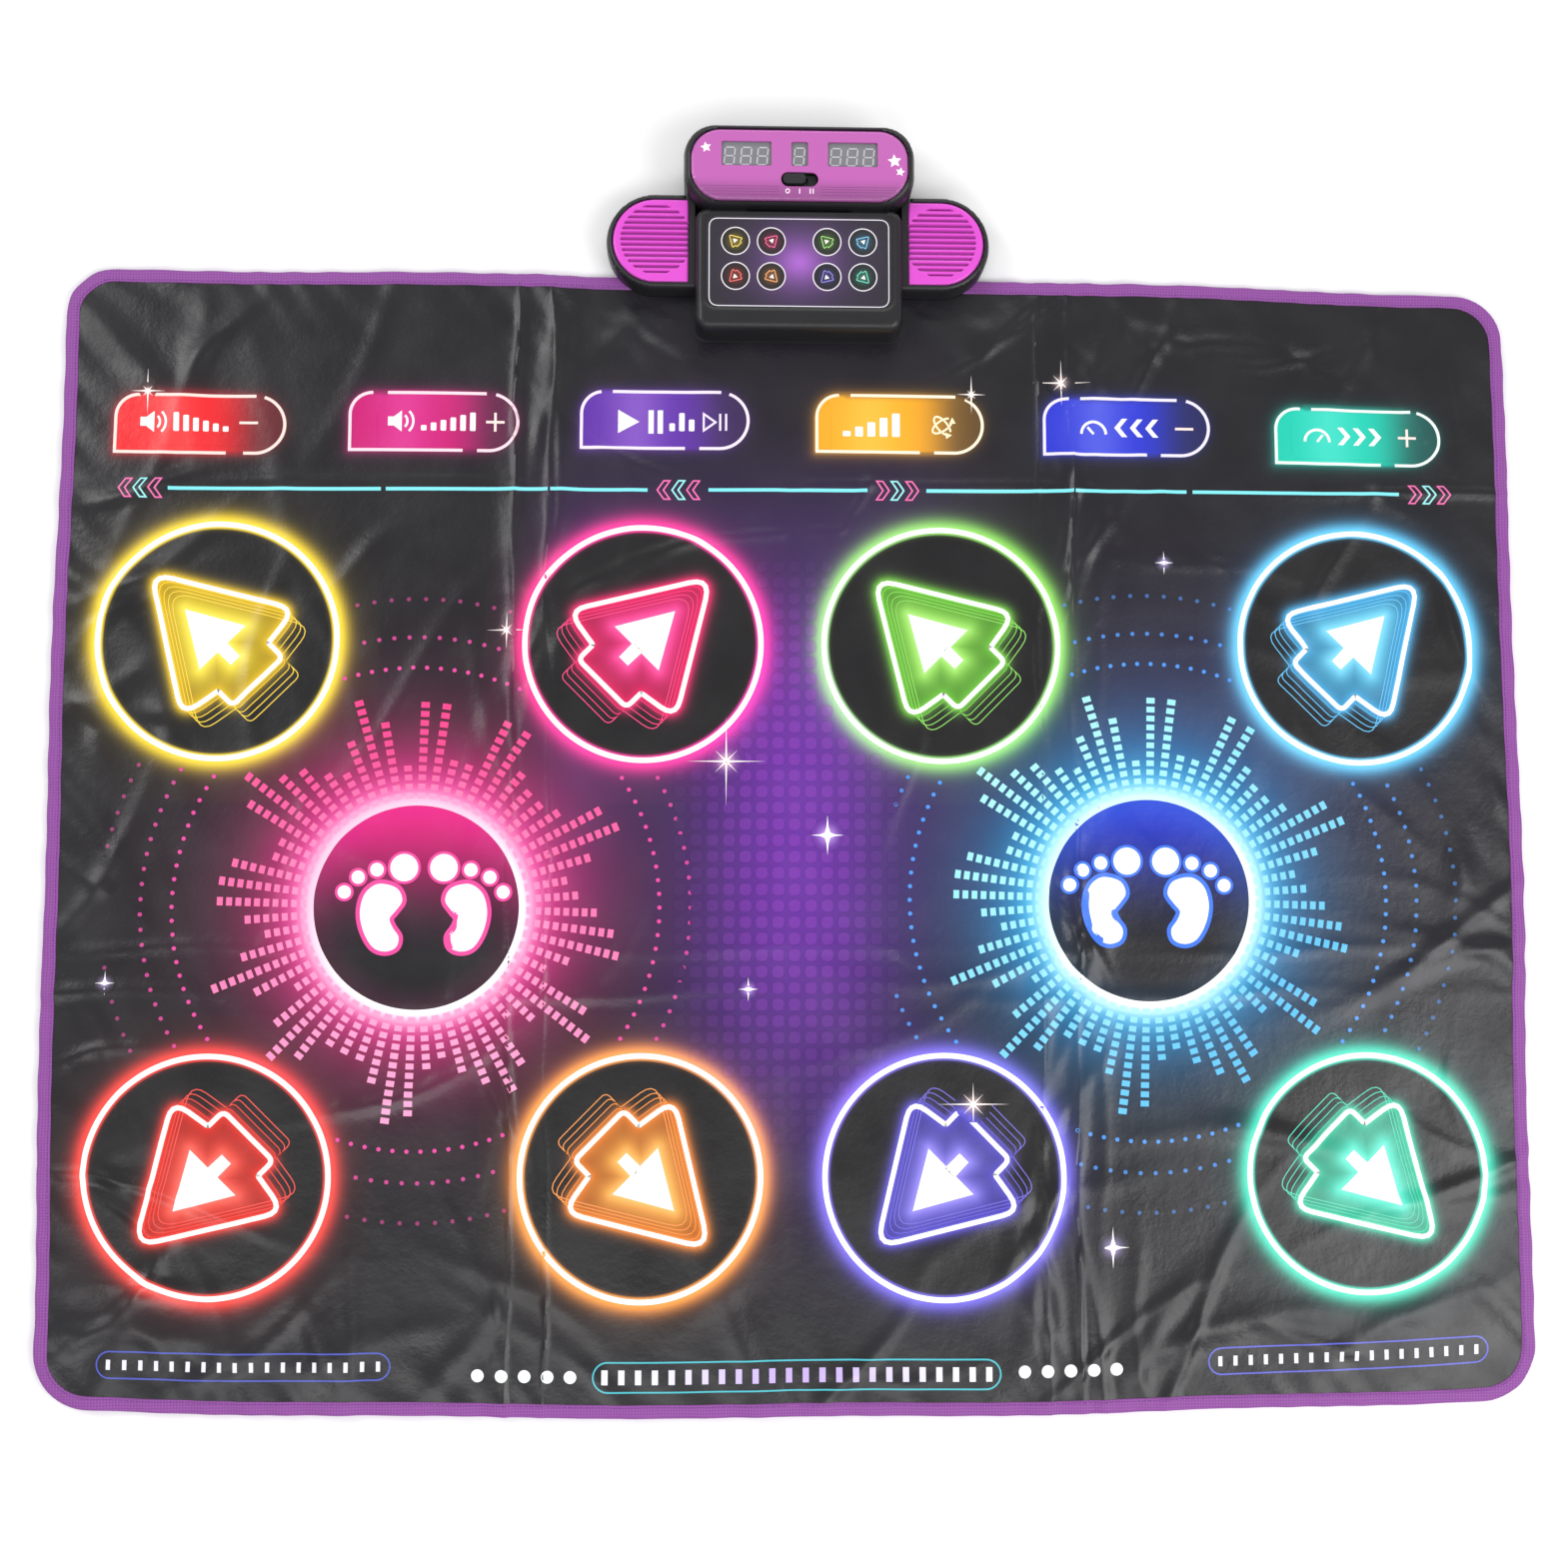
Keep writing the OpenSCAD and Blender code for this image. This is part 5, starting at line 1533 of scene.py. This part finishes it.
def panelPrint():
    # a thin frame, and for each icon a ring, a small emblem outline and an arrow head
    shapes = []
    edge = roundCorners(boxCorners(-67.8, 67.6, 394.0, 461.5), 7.0, 8)
    shapes.append((*stripAlong(densify(edge, 4, True), 0.7, True), "#e9e4ee"))
    for (ix, iy), pad in zip(iconSpots(), dancePads.values()):
        shapes.append((*stripAlong(circlePath(ix, iy, 10.5, 56), 0.75, True), "#f1ecf2"))
        tint = mixTo(srgb(pad["colour"]), np.ones(3), 0.35)
        small = turned(roundCorners(emblem * 0.092, np.array(emblemRadii) * 0.09), pad["tip"], ix, iy)
        shapes.append((*stripAlong(small, 0.62, True), tint))
        arrow = turned(cursor * 0.08, pad["tip"], ix, iy)
        shapes.append((arrow[[0, 1, 6]], [[0, 1, 2]], "#fbf8ee"))
    return flatPrint("icon_panel_print", shapes, lambda x, y: np.full(len(x), hood["filmTop"]))


def fiveStar(cx, cy, r, turn=0.0):
    # a star's ten corners by turns far from and near to its middle, as a fan
    a = pi / 2 + turn + np.arange(10) * pi / 5
    reach = np.where(np.arange(10) % 2 == 0, r, r * 0.48)
    pts = np.concatenate([[[cx, cy]], np.stack([cx + reach * np.cos(a), cy + reach * np.sin(a)], 1)])
    return pts, [[0, 1 + i, 1 + (i + 1) % 10] for i in range(10)]


def facePrint():
    # three stars, the switch's positions marked 0, I and II, and thin lines that stop short of the switch
    stars = ((-70.5, 512.8, 4.3, 0.2), (71.5, 503.9, 5.4, 0.1), (75.8, 495.6, 3.7, -0.2))
    shapes = [(*fiveStar(*star), "#fff2fb") for star in stars]
    y = 480.6
    shapes.append((*stripAlong(circlePath(-9, y, 1.4, 20), 0.7, True), "#fff2fb"))
    for x in (0.0, 8.0, 10.2):
        shapes.append((*stripAlong(np.array([[x, y - 1.7], [x, y + 1.7]]), 0.8), "#fff2fb"))
    for line, drop in ((483.6, 0), (481.9, 0), (480.1, 1), (477.9, 2)):
        for x0, x1 in ((-79 + 3 * drop, -15.5), (15.5, 79 - 3 * drop)):
            path = densify([[x0, line], [x1, line]], 4)
            shapes.append((*stripAlong(path, 0.32), "#7d3a78"))
    return flatPrint("front_plate_print", shapes, faceTop, 0.03, 0.1)


def digitShapes(cx, cy, wide, high, lean):
    # seven-segment figure drawn as outlined bars
    shapes = []
    w, h = wide / 2, high / 2
    bars = [((-w, h), (w, h)), ((-w, 0), (w, 0)), ((-w, -h), (w, -h)), ((-w, 0), (-w, h)),
            ((w, 0), (w, h)), ((-w, -h), (-w, 0)), ((w, -h), (w, 0))]
    for a, b in bars:
        a, b = np.array(a), np.array(b)
        d = (b - a) / np.linalg.norm(b - a)
        path = np.array([a + d * 0.7, b - d * 0.7])
        path[:, 0] += lean * path[:, 1]
        shapes.append((*stripAlong(path + [cx, cy], 1.0), "#bcbcc2"))
    return shapes


def displayPrint():
    # seven unlit figures on the display windows
    shapes = []
    for x in (-52.4, -40, -27.6, 0, 27.6, 40, 52.4):
        shapes += digitShapes(x - 0.3, face["windowY"] - 1.3, 7.4, 13.2, 0.09)
    top = boxMm("display_modules")[1][2]
    return flatPrint("display_figures", shapes, lambda x, y: np.full(len(x), top), 0.05, 0.1)


shell = hoodPiece()
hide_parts("top_shell")
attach(shell, "middle")
for side in ("left", "right"):
    piece = podPiece(side)
    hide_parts(f"{side}_pod")
    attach(piece, "middle")
    piece = grillePiece(side)
    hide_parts(f"{side}_grille")
    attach(piece, "middle")
covers = ((facePiece(), "fascia", "pink_moulding"), (panelFilm(), "icon_film", "icon_film"))
for piece, node, slotName in covers:
    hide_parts(node)
    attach(piece, "middle")
prints = ((panelPrint(), "icon_film"), (facePrint(), "pink_moulding"), (displayPrint(), "display"))
for piece, slotName in prints:
    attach(piece, "middle")

nodeFinish = {
    "blackSatin": ["base_shell", "battery_door"], "knob": ["switch_knob"], "rubber": ["rubber_feet"],
    "steel": ["clamp_screws", "case_screws", "board_screws", "battery_contacts", "clamp_bar"],
    "glass": ["display_modules"], "board": ["display_board", "main_board"],
    "black": ["switch_body", "battery_box"],
    "lens": ["icon_lenses"], "white": ["light_reflector"], "lamp": ["icon_leds"], "film": ["film_tail"],
    "ferrite": ["speaker_magnets", "speaker_frames"], "paper": ["speaker_cones"], "wire": ["speaker_wires"],
    "cell": ["batteries"],
}
for finish, nodes in nodeFinish.items():
    for node in nodes:
        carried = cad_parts[node]
        if not hasattr(carried, "data"):
            carried = bpy.data.objects[node]
        carried.data.materials.clear()
        carried.data.materials.append(materials[finish])
print("controller made")

# floor, light and camera

studio = {
    "floorHalf": 4.0, "floor": "#f4f4f5", "world": "#ffffff", "worldStrength": 0.50,
    # softboxes: place, aim, size in metres, power in watts
    "lights": {"overRight": ((1.55, -0.85, 1.9), (0.25, -0.15, 0), (1.5, 1.5), 32.0),
               "overLeft": ((-1.8, 0.9, 1.8), (-0.2, 0, 0), (1.1, 1.1), 20.0),
               "overFront": ((-0.35, -1.25, 1.8), (-0.15, -0.4, 0), (1.9, 0.7), 13.0),
               "behind": ((0.2, 2.1, 1.3), (0, 0.3, 0), (2.2, 0.8), 14.0)},
}
camera = {"lens": 50, "sensor": 36, "place": (-0.0679, -0.1749, 1.6273), "turn": (5.55, -2.17, -0.01)}


def makeStudio():
    # a white floor, an even world and four softboxes
    h = studio["floorHalf"]
    mesh = bpy.data.meshes.new("floor")
    mesh.from_pydata([(-h, -h, 0), (h, -h, 0), (h, h, 0), (-h, h, 0)], [], [(0, 1, 2, 3)])
    floor = bpy.data.objects.new("floor", mesh)
    bpy.context.scene.collection.objects.link(floor)
    material, tree, shader, coords = newMaterial("paintedStudioFloor")
    shader.inputs["Base Color"].default_value = (*linear(studio["floor"]), 1)
    shader.inputs["Roughness"].default_value = 0.9
    shader.inputs["Specular IOR Level"].default_value = 0.1
    mesh.materials.append(material)
    world = bpy.data.worlds.new("studioWorld")
    world.use_nodes = True
    background = world.node_tree.nodes["Background"]
    background.inputs["Color"].default_value = (*linear(studio["world"]), 1)
    background.inputs["Strength"].default_value = studio["worldStrength"]
    bpy.context.scene.world = world
    for name, (spot, aim, size, watts) in studio["lights"].items():
        lamp = bpy.data.lights.new(name, "AREA")
        lamp.shape = "RECTANGLE"
        lamp.size, lamp.size_y = size
        lamp.energy = watts
        holder = bpy.data.objects.new(name, lamp)
        holder.location = spot
        holder.rotation_euler = (Vector(aim) - Vector(spot)).to_track_quat("-Z", "Y").to_euler()
        bpy.context.scene.collection.objects.link(holder)


def makeCamera():
    # the camera looks down on the object from in front
    lens = bpy.data.cameras.new("camera")
    lens.lens = camera["lens"]
    lens.sensor_width = camera["sensor"]
    holder = bpy.data.objects.new("camera", lens)
    holder.location = camera["place"]
    holder.rotation_euler = [radians(angle) for angle in camera["turn"]]
    bpy.context.scene.collection.objects.link(holder)
    bpy.context.scene.camera = holder


makeStudio()
makeCamera()
bpy.context.scene.view_settings.view_transform = "Standard"
print("studio set")
